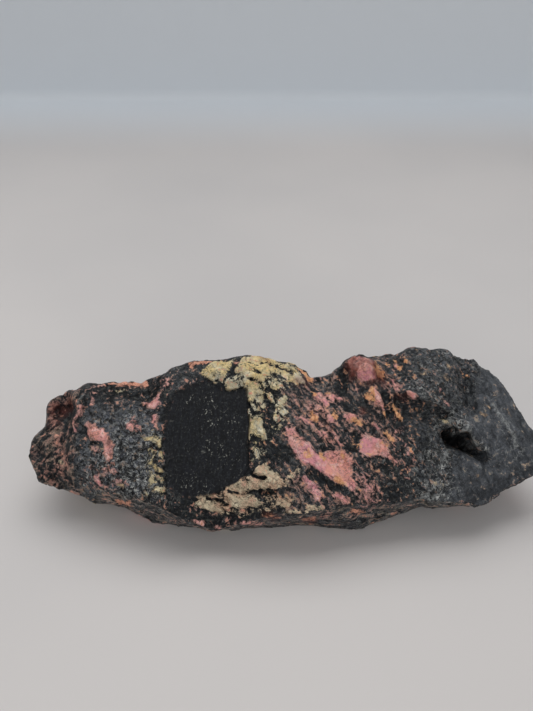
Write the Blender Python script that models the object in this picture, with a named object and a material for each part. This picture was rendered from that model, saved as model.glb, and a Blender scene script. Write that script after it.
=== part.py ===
"""Rough rhodonite: one broken lump of pink rhodonite veined with black manganese oxide.

The lump lies on a flat natural break. +X runs along it, its broad face looks towards -Y and up, and
the origin is under the middle of the stone, on the surface it rests on.
The stone is one solid. A sphere whose poles are the two tips is stretched onto seven long edges,
the relief of the faces is raised on it and cut into it, and the resting face is sliced flat.
Lengths are in millimetres until the last step.
"""

import math

import bmesh
import bpy
import numpy as np
from mathutils import Vector, noise

MM = 0.001

# The two tips, where the long edges meet.
LEFT_TIP = (-63.5, -6.5, 14)
RIGHT_TIP = (63, -8.5, 13.5)

# The long edges, each from the left tip to the right one.
# The toe and the heel are the front and back edges of the resting face.
TOE = [(-56, -6, 8.5), (-48, -7.5, 4.5), (-38, -8.5, 1.5), (-28, -10, -0.7), (-12, -11, -0.9),
       (4, -11, -0.9), (18, -11, -0.9), (28, -9, -0.7), (38, -7.5, 1), (48, -7, 3.5), (56, -7, 8)]
HEEL = [(-56, 4, 7), (-48, 9, 3), (-38, 13, 0.5), (-26, 15, -0.7), (-12, 16.5, -0.9),
        (0, 15, -0.9), (12, 13, -0.9), (24, 16, -0.9), (34, 15, -0.4), (44, 11, 2.5), (53, 5, 6)]
# The belly is the lowest line that is seen from the front.
BELLY = [(-60, -10.5, 11), (-57.5, -11.5, 9.5), (-52, -13, 7.5), (-46.5, -14, 5.5),
         (-41.5, -13.5, 4.5), (-38.5, -14.5, 3.5), (-34, -16, 1.8), (-28.5, -16.5, 1.2),
         (-18, -18, 0.8), (-5.5, -17, 0.8), (7.5, -16.5, 0.6), (15, -18, 0.6), (19.5, -16.5, 0.8),
         (23, -15, 1), (28.5, -13.5, 1.8), (34, -12.5, 2.8), (40.5, -13.5, 3.5), (47, -15, 6),
         (51, -12.5, 8.5), (58.5, -10.5, 11)]
# The brow parts the broad face from the darker band that slopes in under it.
BROW = [(-59, -9.5, 14), (-51.5, -12, 15), (-46.5, -14, 16), (-45, -16.5, 15), (-40, -17.5, 14.5),
        (-34, -20.5, 13.5), (-28, -23, 12.5), (-22.5, -23.5, 9), (-18.5, -23.5, 7),
        (-11.5, -24, 9.5), (-3.5, -23.5, 12), (5, -23.5, 12.5), (14, -21, 13), (20, -20, 12.5),
        (27.5, -19, 11.5), (35, -18, 11), (45, -18, 9), (50.5, -14, 10), (58, -11.5, 12)]
# The crest is the skyline: a low left block, a round hump, a saddle, a knob and the right hump.
CREST = [(-63, -4.5, 14.5), (-61, -0.5, 17), (-60, 1, 19), (-58.6, 4.5, 22.2), (-54.5, 6, 24),
         (-51.5, 5.5, 26), (-45.5, 6.5, 26.8), (-38, 6, 26.2), (-35, 5.5, 26.6), (-32, 6.5, 28),
         (-28, 8.5, 30), (-23, 9, 32.2), (-16.5, 8.5, 32.5), (-10.5, 9, 33.7), (-4.5, 8.5, 33.2),
         (0.5, 7.5, 31.9), (3.5, 7, 30.4), (5, 5, 28.9), (8.5, 5, 29.4), (12.5, 7, 30.6),
         (15, 9.5, 32.4), (18, 9, 32.8), (21.5, 9, 31.6), (25, 8.5, 31.2), (27, 10, 32.4),
         (29.5, 11.5, 33.8), (39, 10.5, 34), (41, 10, 32.2), (46, 11, 31), (48, 10, 29.5),
         (51.5, 7.5, 27), (54.5, 5, 24.5), (56.5, 2.5, 22.5), (57.5, -0.5, 20.5),
         (59.5, -1.5, 18.5), (61, -4.5, 16)]
# The back falls from the crest over a broken shoulder and a waist to the heel.
SHOULDER = [(-62, -1, 15.5), (-58, 7.5, 18), (-50, 12, 19.5), (-40, 14.5, 18.5), (-30, 16, 20.5),
            (-20, 18.5, 24), (-8, 17, 26.5), (2, 12.5, 22), (12, 15, 22), (20, 18, 24.5),
            (32, 19, 26.5), (42, 18, 24), (50, 13.5, 20), (57, 5, 15), (61.5, -3, 14)]
WAIST = [(-61.5, 1, 12), (-57, 10, 11), (-48, 17, 11.5), (-38, 20, 10), (-26, 21, 12), (-12, 24, 14),
         (-2, 23, 10), (10, 19.5, 9), (22, 22, 12), (36, 24, 14), (46, 19, 10), (54, 11, 8),
         (60.5, 0, 10)]

# Once round the stone: each edge, the mesh cells from it to the next edge, and how far the face
# between them bulges, as a share of its width.
ROUND = [(TOE, 2, 0), (BELLY, 6, 0.02), (BROW, 27, 0.06), (CREST, 5, 0.02), (SHOULDER, 6, 0.06),
         (WAIST, 5, 0.08), (HEEL, 4, 0)]
CELLS_ROUND = sum(cells for _, cells, _ in ROUND)
CELLS_ALONG = 88
# The rings stand closer together towards the tips, by this share of the length.
TIP_CROWDING = 0.03

# A spot on the broad face is given by its place along X and its place up the face. Relief is raised
# along the face's outward direction.
FACE_UP = Vector((0, 0.656, 0.755))
FACE_OUT = Vector((0, -0.755, 0.656))
BACK_OUT = Vector((0, 0.94, 0.34))

# The black window, a flat smooth cleavage sunk in the face: its outline, and the depth of its floor
# at the height 0 of the face and for each millimetre up.
WINDOW = [(-27.5, 22), (-10, 22), (-8.8, 13), (-8.8, 6), (-10, 2.5), (-18.5, -2.5), (-25.5, -3.5),
          (-29, 2), (-28, 6), (-30, 12.5), (-30, 19)]
WINDOW_FLOOR = 22.9
WINDOW_SLOPE = -0.275
# The low ledge, a slab of coarse grains that overlaps the window's lower edge.
LEDGE = [(-22, -5.5), (-17, -2), (-11, 2.6), (-6.5, 4.6), (-0.5, 3.5), (0.5, 0), (-5, -3.5),
         (-12, -6)]
LEDGE_HEIGHT = 1.3
# The window's lower edge keeps this share of its depth under the ledge.
LEDGE_SUNK = 0.3
# The window and the ledge change height over this width at their outlines.
EDGE_WIDTH = 1.4
# The window's floor keeps this share of the stone's roughness.
WINDOW_ROUGHNESS = 0.15

# Lumps and hollows of the broad face: centre, radii along and up, and height.
LUMPS = [((-9, 27), (16, 6.5), 1.6), ((17.8, 27.5), (4.8, 5), 3.2), ((33, 25), (9, 9), 2.4),
         ((-43, 12), (9, 10), 1.0), ((-55, 18), (3.6, 4.2), -3.0), ((-34, 27), (3, 4), -1.0),
         ((8.5, 24), (5, 5), -1.7), ((12.8, 24.5), (3, 5), -1.0), ((-3, 16), (5, 7), -0.8),
         ((8, 12), (9, 7), 0.9), ((28, 7), (6, 6), 1.0), ((51, 12), (5, 8), 0.7),
         ((15, 3), (6, 4), -0.8), ((-57, 9), (4, 5), 0.8), ((38, 2), (6, 3), 0.9)]
# Ridges and grooves of the broad face: the line, half the width, and height.
STROKES = [([(-51.3, 23.5), (-51, 19), (-51.7, 12), (-51.5, 3)], 2.2, 1.3),
           ([(-35.7, 25), (-33, 18), (-31.5, 12), (-29.5, 5), (-27, -3)], 1.8, -1.1),
           ([(20, 24), (21.5, 20), (23, 15.5)], 1.8, 1.7),
           ([(24, 20), (25.3, 17), (27, 14.5)], 1.6, 1.3),
           ([(22.3, 23.5), (23.6, 19.5), (25, 16)], 1.3, -0.8),
           ([(27, 21.5), (31, 19.7), (37.5, 18.5)], 1.8, 1.1),
           ([(26, 18.8), (29.5, 16.6), (33.5, 15.4), (37, 15.6)], 2.0, -2.0),
           ([(41.3, 30.5), (42.3, 25), (43.6, 20), (43.6, 16)], 1.9, -1.4),
           ([(37.4, 10.8), (40.6, 9.5), (45.4, 7)], 3.2, -5.4),
           ([(36, 14.6), (40, 14.2), (43.4, 12), (46.8, 8.6)], 1.8, 1.6),
           ([(45.5, 30), (48.5, 25), (51.5, 19), (56, 10.5), (58.5, 5)], 1.9, 1.3),
           ([(-1, 13), (3, 8), (9, 2.5), (12.5, -1)], 2.4, 0.8),
           ([(3, 13), (9, 6.5), (14, 4.5)], 1.7, -0.8),
           ([(-45, 3), (-38, 1.5), (-31, -1.5)], 1.9, 0.8),
           ([(28, 1.5), (36, 1), (44, 2.5)], 1.8, 0.9)]

# The broken back: hollows and ledges, placed along X and by height.
BACK_LUMPS = [((-38, 14), (12, 8), -1.8), ((-14, 20), (12, 7), 1.2), ((3, 15), (11, 10), -2.6),
              ((30, 19), (13, 8), 1.4), ((45, 12), (9, 8), -1.6), ((-52, 12), (6, 6), 0.9),
              ((20, 8), (9, 6), -1.2), ((-22, 7), (10, 5), -1.0)]
BACK_STROKES = [([(-55, 17), (-40, 18.5), (-27, 17), (-18, 19)], 2.6, 1.3),
                ([(-30, 12), (-16, 9), (-4, 11)], 2.4, 1.4), ([(-46, 8), (-34, 7)], 2.2, 1.0),
                ([(8, 21), (16, 15), (28, 11), (40, 13)], 2.6, 1.5),
                ([(34, 22), (46, 17), (55, 12)], 2.4, 1.2), ([(2, 8), (14, 5), (26, 6)], 2.0, 1.0)]

# Roughness of the broken surface: the size of its lumps and their height.
GRAINS = [(9, 0.55), (4.2, 0.4), (2.2, 0.16)]
# The layers of the rock show as low waves that run down the face at this slope. They are this long
# and this wide.
LAYER_SLOPE = math.radians(-52)
LAYER_SIZE = (10, 2.8)
LAYER_HEIGHT = 0.9
# The back broke along the same layers, which left a flight of low steps: the way across them, their
# pitch, their height and the share of the pitch that each drop takes.
STEP_ACROSS = Vector((0.8, -0.05, 0.6))
STEP_PITCH = 8.5
STEP_HEIGHT = 1.5
STEP_DROP = 0.22
# The steps wander this far in waves of this size, and they fade in and out over this length.
STEP_WANDER = 5
STEP_WAVES = 14
STEP_FADE = 20
# Close to the surface that the stone stands on, its relief dies away over this height.
CALM_HEIGHT = 2.5
# A side takes its full relief where it looks this squarely along its outward direction, and none
# below the first value. The values are cosines.
FRONT_TURN = (0, 0.4)
BACK_TURN = (0.4, 0.9)


def ease(value, low, high):
    """Rises smoothly from 0 at the low value to 1 at the high one."""
    share = min(max((value - low) / (high - low), 0), 1)
    return share * share * (3 - 2 * share)


def lump(spot, centre, radii, height):
    """The height of a round lump, or a hollow where the height is negative."""
    reach = math.hypot((spot[0] - centre[0]) / radii[0], (spot[1] - centre[1]) / radii[1])
    return height * ease(reach, 1, 0)


def distance_to_run(spot, start, end):
    """The distance from a spot to a straight run."""
    run = (end[0] - start[0], end[1] - start[1])
    aside = (spot[0] - start[0], spot[1] - start[1])
    share = (aside[0] * run[0] + aside[1] * run[1]) / (run[0] ** 2 + run[1] ** 2)
    share = min(max(share, 0), 1)
    return math.hypot(aside[0] - run[0] * share, aside[1] - run[1] * share)


def stroke(spot, line, width, height):
    """The height of a ridge, or a groove, that follows a line."""
    nearest = min(distance_to_run(spot, start, end) for start, end in zip(line, line[1:]))
    return height * ease(nearest, width, 0)


def inside(spot, outline):
    """How far a spot lies inside an outline, from 0 outside to 1 within."""
    within = False
    nearest = math.inf
    for start, end in zip(outline, outline[1:] + outline[:1]):
        nearest = min(nearest, distance_to_run(spot, start, end))
        if (start[1] > spot[1]) != (end[1] > spot[1]):
            crossing = start[0] + (spot[1] - start[1]) / (end[1] - start[1]) * (end[0] - start[0])
            if spot[0] < crossing:
                within = not within
    signed = nearest if within else -nearest
    return ease(signed, -EDGE_WIDTH / 2, EDGE_WIDTH / 2)


def layers(spot):
    """The low waves that the rock's layers make on the broad face."""
    along = spot[0] * math.cos(LAYER_SLOPE) + spot[1] * math.sin(LAYER_SLOPE)
    across = -spot[0] * math.sin(LAYER_SLOPE) + spot[1] * math.cos(LAYER_SLOPE)
    wave = noise.noise(Vector((along / LAYER_SIZE[0], across / LAYER_SIZE[1], 0)))
    return LAYER_HEIGHT * wave


def face_relief(point):
    """How far the broad face stands out at a point of the plain form."""
    spot = (point.x, point.dot(FACE_UP))
    lift = sum(lump(spot, *shape) for shape in LUMPS)
    lift += sum(stroke(spot, *shape) for shape in STROKES)
    lift += layers(spot)
    window = inside(spot, WINDOW)
    floor = WINDOW_FLOOR + WINDOW_SLOPE * spot[1]
    lift += window * (min(floor - point.dot(FACE_OUT), 0) - lift)
    ledge = inside(spot, LEDGE)
    return lift + ledge * (1 - window * LEDGE_SUNK) * LEDGE_HEIGHT


def broken_steps(point):
    """The height of the steps that the rock's layers leave where they broke off."""
    wander = STEP_WANDER * noise.noise(point / STEP_WAVES)
    share = (point.dot(STEP_ACROSS) + wander) / STEP_PITCH % 1
    rise = min(share / (1 - STEP_DROP), (1 - share) / STEP_DROP)
    return STEP_HEIGHT * rise * (0.5 + noise.noise(point / STEP_FADE))


def back_relief(point):
    """How far the broken back stands out at a point of the plain form."""
    spot = (point.x, point.z)
    lift = sum(lump(spot, *shape) for shape in BACK_LUMPS)
    lift += sum(stroke(spot, *shape) for shape in BACK_STROKES)
    return lift + broken_steps(point)


def roughness(point):
    """Lumps of several sizes, one on the other."""
    return sum(height * noise.noise(point / size) for size, height in GRAINS)


def line_through(edge):
    """An edge as an array, with the stone's two tips as its ends."""
    return np.array([LEFT_TIP, *edge, RIGHT_TIP], float)


def ring_at(x):
    """The points of one cross-section of the stone, once round."""
    corners = []
    for edge, _, _ in ROUND:
        line = line_through(edge)
        corners.append(np.array([np.interp(x, line[:, 0], line[:, 1]),
                                 np.interp(x, line[:, 0], line[:, 2])]))
    points = []
    for start, end, (_, cells, bulge) in zip(corners, corners[1:] + corners[:1], ROUND):
        across = end - start
        outward = np.array([-across[1], across[0]]) * bulge
        for cell in range(cells):
            share = cell / cells
            y, z = start + across * share + outward * 4 * share * (1 - share)
            points.append(Vector((x, y, z)))
    return points


def stretched_sphere(bm):
    """Adds a sphere whose poles are the tips, and moves its rings onto the cross-sections."""
    made = bmesh.ops.create_uvsphere(bm, u_segments=CELLS_ROUND, v_segments=CELLS_ALONG, radius=1)
    length = RIGHT_TIP[0] - LEFT_TIP[0]
    rings = []
    for station in range(CELLS_ALONG + 1):
        share = station / CELLS_ALONG
        eased = share - TIP_CROWDING * math.sin(2 * math.pi * share)
        rings.append(ring_at(LEFT_TIP[0] + length * eased))
    for vert in made["verts"]:
        across = math.hypot(vert.co.x, vert.co.y)
        station = round(math.atan2(across, vert.co.z) / math.pi * CELLS_ALONG)
        turn = math.atan2(vert.co.y, vert.co.x) / math.tau
        vert.co = rings[station][round(turn * CELLS_ROUND) % CELLS_ROUND]
    bmesh.ops.recalc_face_normals(bm, faces=bm.faces)


def raise_relief(bm):
    """Moves each vertex out or in by the relief of the side that it looks to."""
    bm.normal_update()
    moves = {}
    for vert in bm.verts:
        to_front = ease(vert.normal.dot(FACE_OUT), *FRONT_TURN)
        to_back = ease(vert.normal.dot(BACK_OUT), *BACK_TURN)
        calm = ease(vert.co.z, 0, CALM_HEIGHT)
        in_window = inside((vert.co.x, vert.co.dot(FACE_UP)), WINDOW) * to_front
        rough = 1 - (1 - WINDOW_ROUGHNESS) * in_window
        move = FACE_OUT * face_relief(vert.co) * to_front
        move += vert.normal * back_relief(vert.co) * to_back
        move += vert.normal * roughness(vert.co) * rough
        moves[vert] = move * calm
    for vert, move in moves.items():
        vert.co += move


def slice_resting_face(bm):
    """Slices the underside off at height 0 and closes the stone with one flat face."""
    geometry = [*bm.verts, *bm.edges, *bm.faces]
    cut = bmesh.ops.bisect_plane(bm, geom=geometry, dist=0.01, plane_co=(0, 0, 0),
                                 plane_no=(0, 0, 1), clear_inner=True)
    rim = [item for item in cut["geom_cut"] if isinstance(item, bmesh.types.BMEdge)]
    bmesh.ops.edgeloop_fill(bm, edges=rim)
    bmesh.ops.triangulate(bm, faces=bm.faces)
    bmesh.ops.recalc_face_normals(bm, faces=bm.faces)


def set_on_origin(bm):
    """Puts the middle of the stone's box over the origin, and turns millimetres into metres."""
    corners = np.array([vert.co for vert in bm.verts])
    middle = (corners.min(axis=0) + corners.max(axis=0)) / 2
    bmesh.ops.translate(bm, vec=(-middle[0], -middle[1], 0), verts=bm.verts)
    bmesh.ops.scale(bm, vec=(MM, MM, MM), verts=bm.verts)


def stone_material():
    """Black manganese oxide with a dull shine, the commonest colour of the stone."""
    material = bpy.data.materials.new("black_rhodonite")
    material.use_nodes = True
    shader = material.node_tree.nodes["Principled BSDF"]
    shader.inputs["Base Color"].default_value = (0.08, 0.06, 0.06, 1)
    shader.inputs["Roughness"].default_value = 0.55
    shader.inputs["Metallic"].default_value = 0
    return material


def main():
    for old in list(bpy.data.objects):
        bpy.data.objects.remove(old)
    bm = bmesh.new()
    stretched_sphere(bm)
    raise_relief(bm)
    slice_resting_face(bm)
    set_on_origin(bm)
    mesh = bpy.data.meshes.new("rhodonite_stone")
    bm.to_mesh(mesh)
    bm.free()
    mesh.materials.append(stone_material())
    stone = bpy.data.objects.new("rhodonite_stone", mesh)
    bpy.context.scene.collection.objects.link(stone)


main()
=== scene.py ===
# %% [markdown]
# # A rough rhodonite, dressed
# Rhodonite is a pink manganese silicate. This lump was broken out of its bed and never cut: pink
# and cream grains stand in a black net of manganese oxide. The lesson dresses a plain solid of the
# stone with broken relief and with minerals.
#
# Lengths are in millimetres in the lists below, because a stone in the hand is measured so. They
# are turned into metres where Blender needs them.

# %% The frame
import math

import bpy
import numpy as np
from mathutils import Matrix, Vector, noise
from mathutils.kdtree import KDTree


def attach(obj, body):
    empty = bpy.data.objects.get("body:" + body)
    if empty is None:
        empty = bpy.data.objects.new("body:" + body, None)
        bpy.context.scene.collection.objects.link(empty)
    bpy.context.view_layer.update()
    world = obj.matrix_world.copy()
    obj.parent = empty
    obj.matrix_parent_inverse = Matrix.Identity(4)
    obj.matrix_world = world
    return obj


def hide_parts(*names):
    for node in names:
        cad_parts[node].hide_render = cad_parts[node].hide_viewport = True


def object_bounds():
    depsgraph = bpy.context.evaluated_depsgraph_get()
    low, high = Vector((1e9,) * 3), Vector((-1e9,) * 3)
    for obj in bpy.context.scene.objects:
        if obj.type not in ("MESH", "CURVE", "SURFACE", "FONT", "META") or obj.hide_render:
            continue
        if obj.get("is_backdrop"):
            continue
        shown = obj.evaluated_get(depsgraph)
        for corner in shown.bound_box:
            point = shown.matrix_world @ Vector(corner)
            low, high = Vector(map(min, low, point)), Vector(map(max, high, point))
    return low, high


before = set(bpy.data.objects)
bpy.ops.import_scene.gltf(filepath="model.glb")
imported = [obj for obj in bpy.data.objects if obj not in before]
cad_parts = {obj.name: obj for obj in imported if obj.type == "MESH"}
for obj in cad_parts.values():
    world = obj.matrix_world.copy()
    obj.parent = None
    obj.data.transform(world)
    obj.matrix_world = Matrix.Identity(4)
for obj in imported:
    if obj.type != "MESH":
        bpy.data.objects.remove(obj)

MM = 0.001
cad_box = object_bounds()
print("solid's box:", [[round(value, 4) for value in corner] for corner in cad_box])

# %% [markdown]
# ## Where things are on the stone
# The markings were measured on the broad face with a ruler: how far along the stone, and how far
# up the face. Two directions turn those readings into places. The ruler's zero lies a little off
# the solid's origin.

# %% The ruler on the broad face
FACE_UP = Vector((0, 0.656, 0.755))
FACE_OUT = Vector((0, -0.755, 0.656))
BACK_OUT = Vector((0, 0.94, 0.34))
RULER_ZERO = Vector((0.26, -0.72, 0))


def ease(value, low, high):
    """Rises smoothly from 0 at the low value to 1 at the high one, for one number or many."""
    share = np.clip((value - low) / (high - low), 0, 1)
    return share * share * (3 - 2 * share)


def on_ruler(points):
    """The readings of points given in millimetres: along, up the face, and out of it."""
    moved = points - np.array(RULER_ZERO)
    return np.stack([moved[:, 0], moved @ np.array(FACE_UP), moved @ np.array(FACE_OUT)], axis=1)


print("one millimetre up the face rises", round(FACE_UP.z, 2), "mm")

# %% [markdown]
# ## The lump
# The solid already has the stone's outline, its ledges and its pit. Its faces are 1.5 mm wide,
# though, and broken rock has detail down to a grain. The solid could be subdivided, but its long
# thin faces would stay long and thin. A voxel remesh lays an even skin over it instead, fine
# enough to carve, and a light smoothing takes away the steps between the old faces.

# %% A copy of the solid
VOXEL = 0.456 * MM
MERGE_DISTANCE = 0.001 * MM


def only(item):
    """Selects one object and makes it the active one."""
    bpy.ops.object.select_all(action="DESELECT")
    item.select_set(True)
    bpy.context.view_layer.objects.active = item


def apply_modifier(item, kind, **settings):
    """Adds a modifier, sets it up and applies it."""
    modifier = item.modifiers.new(kind.title(), kind)
    for name, value in settings.items():
        setattr(modifier, name, value)
    only(item)
    bpy.ops.object.modifier_apply(modifier=modifier.name)


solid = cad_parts["rhodonite_stone"]
stone = bpy.data.objects.new("rough_rhodonite", solid.data.copy())
bpy.context.scene.collection.objects.link(stone)
stone.data.materials.clear()
only(stone)
bpy.ops.object.mode_set(mode="EDIT")
bpy.ops.mesh.select_all(action="SELECT")
bpy.ops.mesh.remove_doubles(threshold=MERGE_DISTANCE)
bpy.ops.mesh.normals_make_consistent(inside=False)
bpy.ops.object.mode_set(mode="OBJECT")
print("merged copy:", len(stone.data.vertices), "points")

# %% An even skin
apply_modifier(stone, "REMESH", mode="VOXEL", voxel_size=VOXEL)
apply_modifier(stone, "SMOOTH", factor=0.5, iterations=5)
print("skin:", len(stone.data.vertices), "points,", len(stone.data.polygons), "faces")

# %% [markdown]
# ## Regions of the surface
# Each part of the stone broke in its own way: the black window is nearly flat, the left end is
# scaly, the middle is drawn out into streaks, and the right end is smooth. A vertex group for each
# region lets a modifier work there alone.


# %% Reading and moving points
def points_of(item):
    """The object's points in millimetres, as rows of x, y and z."""
    flat = np.empty(len(item.data.vertices) * 3)
    item.data.vertices.foreach_get("co", flat)
    return flat.reshape(-1, 3) / MM


def put_points(item, places):
    """Moves the object's points to places given in millimetres."""
    item.data.vertices.foreach_set("co", (places * MM).ravel())
    item.data.update()


def normals_of(item):
    """The directions that the object's points look in."""
    flat = np.empty(len(item.data.vertices) * 3)
    item.data.vertices.foreach_get("normal", flat)
    return flat.reshape(-1, 3)


places = points_of(stone)
looks = normals_of(stone)
ruler = on_ruler(places)
along, up = ruler[:, 0], ruler[:, 1]
print("the ruler reads", along.min().round(1), "to", along.max().round(1), "mm along the stone")

# %% Distances on the broad face
WINDOW = [(-27.5, 21.8), (-19.8, 25), (-15.5, 22.3), (-10, 22.5), (-9.5, 13), (-9.8, 3.5),
          (-12, 1), (-15, -0.8), (-18.5, -2.2), (-24.5, -2.6), (-28.5, -0.6), (-28.8, 2), (-28, 6),
          (-29.6, 9), (-29.8, 12.5), (-29, 17)]


def distance_to_line(spots, line):
    """How far each spot is from a line through points, or from a single point."""
    if len(line) == 1:
        return np.hypot(*(spots - np.array(line[0])).T)
    nearest = np.full(len(spots), np.inf)
    for start, end in zip(np.array(line[:-1], float), np.array(line[1:], float)):
        run = end - start
        share = np.clip((spots - start) @ run / (run @ run), 0, 1)
        nearest = np.minimum(nearest, np.hypot(*(spots - start - share[:, None] * run).T))
    return nearest


def depth_inside(spots, outline):
    """How far each spot is inside a closed outline, below zero outside it."""
    within = np.zeros(len(spots), bool)
    for start, end in zip(outline, outline[1:] + outline[:1]):
        level = (start[1] > spots[:, 1]) != (end[1] > spots[:, 1])
        rise = end[1] - start[1] if end[1] != start[1] else 1
        crossing = start[0] + (spots[:, 1] - start[1]) / rise * (end[0] - start[0])
        within ^= level & (spots[:, 0] < crossing)
    edge = distance_to_line(spots, outline + outline[:1])
    return np.where(within, edge, -edge)


wide, high = np.ptp(WINDOW, axis=0)
print(f"the window is {wide:.1f} mm wide and {high:.1f} mm high")

# %% The large faces and the window
front = ease(looks @ np.array(FACE_OUT), 0.0, 0.25)
band = front * ease(-looks[:, 2], -0.1, 0.2)
behind = ease(looks @ np.array(BACK_OUT), 0.1, 0.6) * (1 - front)
window = front * ease(depth_inside(ruler[:, :2], WINDOW), -0.4, 0.4)
print("window covers", round(100 * window.mean(), 1), "% of the points")

# %% Groups for the regions
# where a region begins and where it is full, in millimetres on the ruler
SCALY_FROM, SCALY_TO, TIP_FROM = (28, 32), (48, 52), (53, 56)
STREAKY_FROM, SMOOTH_FROM = (-9, -4), (34, 40)
GROUP_STEPS = 20


def set_group(item, name, weights):
    """Fills a vertex group, in a few even steps of weight."""
    group = item.vertex_groups.new(name=name)
    levels = np.round(np.clip(weights, 0, 1) * GROUP_STEPS).astype(int)
    for level in range(1, GROUP_STEPS + 1):
        chosen = np.nonzero(levels == level)[0].tolist()
        if chosen:
            group.add(chosen, level / GROUP_STEPS, "REPLACE")


face = front * (1 - band)
off_bed = ease(places[:, 2], 0.3, 1.5)
left_end = face * ease(-along, *SCALY_TO)
left_tip = left_end * ease(-along, *TIP_FROM)
scaly = face * ease(-along, *SCALY_FROM) * (1 - ease(-along, *SCALY_TO)) * (1 - window)
smooth_end = face * ease(along - 0.35 * up, *SMOOTH_FROM)
streaky = face * ease(along, *STREAKY_FROM) * (1 - smooth_end) * (1 - window)
left_crest = ease(-along, 30, 34) * ease(up, 22.5, 24)
regions = {"rough": off_bed * (1 - 0.95 * window) * (1 - 0.5 * smooth_end),
           "scaly": scaly * off_bed, "streaky": streaky * off_bed, "left_tip": left_tip * off_bed,
           "left_end": (left_end - left_tip) * off_bed,
           "smooth_end": smooth_end * off_bed, "band": band * off_bed, "behind": behind * off_bed,
           "thin": np.maximum(ease(np.abs(along), 56, 61), 0.8 * left_crest)}
for name, weights in regions.items():
    set_group(stone, name, weights)
    print(f"{name:10} {100 * weights.mean():5.1f} %")

# %% [markdown]
# ## Broken relief
# Rock breaks into chips with flat faces and small steps between them. A Displace modifier with a
# cloud texture gives rounded lumps, which is right for weathered ground and wrong for a fresh
# break. So the chips are worked out here: seeds are scattered through the stone, each point belongs
# to the nearest seed, and each seed has its own tilt and its own step. Both kinds of chance get a
# fixed seed, or the stone would break differently each time. Finer grain can then come from
# Displace modifiers, one for each region.

# %% Helpers for chips
RANDOM_SEED = 11
MARGIN = 4
CHIP_KINDS = [(6.0, 0.16, 0.055), (2.4, 0.08, 0.06), (1.4, 0.1, 0.12)]
noise.seed_set(RANDOM_SEED)


def move_out(item, heights):
    """Moves each point of the object out by its height, in millimetres."""
    put_points(item, points_of(item) + normals_of(item) * heights[:, None])


def wavering(spots, size, amount, seed):
    """The points, each pushed aside by smooth noise, so that straight borders become ragged."""
    shift = Vector((seed, 2.3 * seed, 0))
    push = [noise.noise_vector(Vector(spot) / size + shift) for spot in spots]
    return spots + amount * np.array(push)


def chips(spots, size, step, tilt, seed):
    """Heights of flat chips of a size, with steps and tilts, as on a fresh break."""
    chance = np.random.default_rng(seed)
    low, high = spots.min(axis=0) - MARGIN, spots.max(axis=0) + MARGIN
    count = int(np.prod((high - low) / size))
    seeds = chance.uniform(low, high, (count, 3))
    tree = KDTree(count)
    for number, place in enumerate(seeds):
        tree.insert(place, number)
    tree.balance()
    ragged = wavering(spots, size, 0.3 * size, seed)
    owner = np.array([tree.find(spot)[1] for spot in ragged])
    lean = chance.normal(0, tilt, (count, 3))[owner]
    rise = chance.uniform(-step, step, count)[owner]
    return rise + np.einsum("ij,ij->i", lean, spots - seeds[owner])


print("chips of", [size for size, step, tilt in CHIP_KINDS], "mm")

# %% Chips broken off
beside_window = front * ease(depth_inside(ruler[:, :2], WINDOW), -3.5, 0)
chip_share = off_bed * (1 - 0.75 * beside_window) * (1 - 0.97 * window)
places = points_of(stone)
large, small, flakes = (chips(places, size, step, tilt, RANDOM_SEED + number)
                        for number, (size, step, tilt) in enumerate(CHIP_KINDS))
calm = 1 - 0.6 * regions["smooth_end"] - 0.3 * regions["streaky"]
rugged = 1 + 0.3 * regions["behind"] + 0.3 * regions["scaly"]
flaked = regions["scaly"] + 0.5 * regions["streaky"] + 0.25 * regions["smooth_end"]
move_out(stone, chip_share * (calm * (large + rugged * small) + flaked * flakes))
print("large chips:", large.min().round(2), "to", large.max().round(2), "mm")

# %% [markdown]
# ## Grain and layers
# The middle of the stone was sheared: its grains are drawn out like the fibres of a rope, down to
# the right. The left end is drawn out the other way, and the lower edge along its length. An empty
# that is turned and stretched can carry the coordinates of a texture, so one cloud texture serves
# every region.
#
# Displacement leaves thorns where the stone is thin, at its two ends and along its left crest.
# Those places are smoothed as a whole. Elsewhere a thorn shows by how far it is from the middle of
# its neighbours, and only such points are smoothed again.

# %% Displacement along the layers
STREAKS_DOWN, STREAKS_LEFT, STREAKS_TIP, STREAKS_END = -52, 86, 42, -62
STREAKS_BAND, STREAKS_BEHIND = 2, 70
FIBRES = [
    ("streaky", 0.6, STREAKS_DOWN, (7, 1.5, 3)), ("left_end", 0.6, STREAKS_LEFT, (5, 1.2, 3)),
    ("left_tip", 0.35, STREAKS_TIP, (5, 1.2, 3)), ("band", 0.4, STREAKS_BAND, (8, 1.3, 1.3)),
    ("behind", 0.6, STREAKS_BEHIND, (9, 1.8, 3)), ("smooth_end", 0.4, STREAKS_END, (6, 1.4, 3)),
]


def pattern_axes(angle):
    """The axes of a pattern that runs along the face at an angle, in degrees from +X."""
    turn = math.radians(angle)
    run = Vector((1, 0, 0)) * math.cos(turn) + FACE_UP * math.sin(turn)
    return Matrix((run, FACE_OUT.cross(run), FACE_OUT)).transposed()


def displace(item, texture, group, height, **coordinates):
    """Displaces a region of the object by a texture, up to half the height out or in."""
    apply_modifier(item, "DISPLACE", texture=texture, vertex_group=group, strength=height * MM,
                   mid_level=0.5, **coordinates)


def cloud(name, size, depth=1):
    """A cloud texture with lumps of a size."""
    texture = bpy.data.textures.new(name, "CLOUDS")
    texture.noise_scale = size
    texture.noise_depth = depth
    texture.noise_basis = "IMPROVED_PERLIN"
    return texture


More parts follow.
